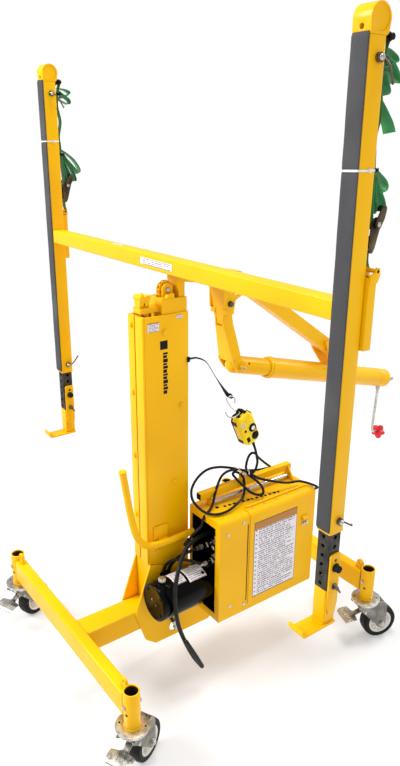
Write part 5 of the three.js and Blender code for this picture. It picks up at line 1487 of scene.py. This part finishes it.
# ---------------------------------------------------------------- stage
def ground():
    """Pale floor whose colour fades into an even white a few metres out."""
    mesh = bpy.data.meshes.new("floor")
    size = 60.0
    corners = [(-size, -size, 0), (size, -size, 0), (size, size, 0), (-size, size, 0)]
    mesh.from_pydata(corners, [], [(0, 1, 2, 3)])
    floor = bpy.data.objects.new("floor", mesh)
    bpy.context.scene.collection.objects.link(floor)
    f = Finish("studio_floor", 0.7, 0.0, 0.1)
    f.feed("Base Color", f.ramp(f.noise(1.4), [0.8, 0.8, 0.8, 1.0], [0.83, 0.83, 0.83, 1.0]))
    away = f.node("VectorMath", "Value", {0: f.coords["Object"]}, operation="LENGTH")
    glow = f.node("Emission", "Emission", {"Color": (1.0, 1.0, 1.0, 1.0), "Strength": 1.0})
    fade = {0: f.span(away, 0.35, 1.0, 0.9, 2.6), 1: f.shader.outputs["BSDF"], 2: glow}
    f.feed("Surface", f.node("MixShader", "Shader", fade), f.tree.nodes["Material Output"])
    mesh.materials.append(f.material)


def backdrop():
    """White world: full strength to the camera, softer as a light."""
    world = bpy.data.worlds.new("studio")
    bpy.context.scene.world = world
    world.use_nodes = True
    tree = world.node_tree
    seen = tree.nodes.new("ShaderNodeLightPath")
    level = tree.nodes.new("ShaderNodeMapRange")
    level.inputs["To Min"].default_value, level.inputs["To Max"].default_value = 0.48, 1.0
    tree.links.new(seen.outputs["Is Camera Ray"], level.inputs["Value"])
    tree.links.new(level.outputs["Result"], tree.nodes["Background"].inputs["Strength"])
    tree.nodes["Background"].inputs["Color"].default_value = (1.0, 1.0, 1.0, 1.0)


LAMPS = (
    ("key", (-2.6, -4.6, 4.6), 440, 2.6),
    ("fill", (4.6, -1.6, 2.6), 45, 3.0),
    ("rim", (0.6, 4.8, 4.0), 150, 2.4),
    ("overhead", (0.1, 0.1, 8.0), 270, 2.6),
)


def lamps():
    """Large soft area lights, each with its place in metres, its watts and its width, aimed at the middle."""
    target = Vector((0.1, 0.1, 0.9))
    for name, place, power, width in LAMPS:
        light = bpy.data.lights.new(name, "AREA")
        light.energy, light.size = power, width
        lamp = bpy.data.objects.new(name, light)
        lamp.location = place
        lamp.rotation_euler = (target - Vector(place)).to_track_quat("-Z", "Y").to_euler()
        bpy.context.scene.collection.objects.link(lamp)


def camera():
    """Eye-height camera in front of the right-hand side, as a person would stand to look at the machine."""
    azimuth, pitch, roll = (math.radians(a) for a in (53.82, 19.695, 0.363))
    ahead = Vector((-math.sin(azimuth), math.cos(azimuth), 0))
    right = Vector((math.cos(azimuth), math.sin(azimuth), 0))
    forward = ahead * math.cos(pitch) - Vector((0, 0, math.sin(pitch)))
    up = ahead * math.sin(pitch) + Vector((0, 0, math.cos(pitch)))
    side = right * math.cos(roll) + up * math.sin(roll)
    top = up * math.cos(roll) - right * math.sin(roll)
    data = bpy.data.cameras.new("camera")
    data.lens = 32.07
    eye = bpy.data.objects.new("camera", data)
    bpy.context.scene.collection.objects.link(eye)
    matrix = Matrix((side, top, -forward)).transposed().to_4x4()
    matrix.translation = Vector((1.6358, -1.2095, 1.7152)) - MIDDLE * MM
    eye.matrix_world = matrix
    bpy.context.scene.camera = eye


for corner in CORNERS:
    caster(corner)
base_weldment()
mast()
sprocket_and_chain()
crossbar()
for side_name, side_sign in SIDES:
    post_x = post(side_name, side_sign)
    head_cap(side_name, post_x)
    lock_pin = f"lock_pin_{side_name}"
    quick_pin(f"upper_pin_{side_name}", "load_frame", post_x + 22.25, 1856, -42, ())
    bail_drop = -24 if side_sign > 0 else 28
    quick_pin(f"quick_pin_{side_name}", lock_pin, post_x + 22.25, 894, bail_drop, [lock_pin])
    pad(side_name, 1659 if side_sign > 0 else 1703)
    leg(side_name)
    shoe(side_name)
    strap(side_name, side_sign)
    ratchet(side_name)
for build in (boom, jack, cabinet, motor, hose_lines, charger_lead, handle, pendant, mast_signs):
    build()
for prepare in (ground, backdrop, lamps, camera):
    prepare()

scene = bpy.context.scene
scene.view_settings.view_transform = "Standard"
scene.view_settings.look = "None"
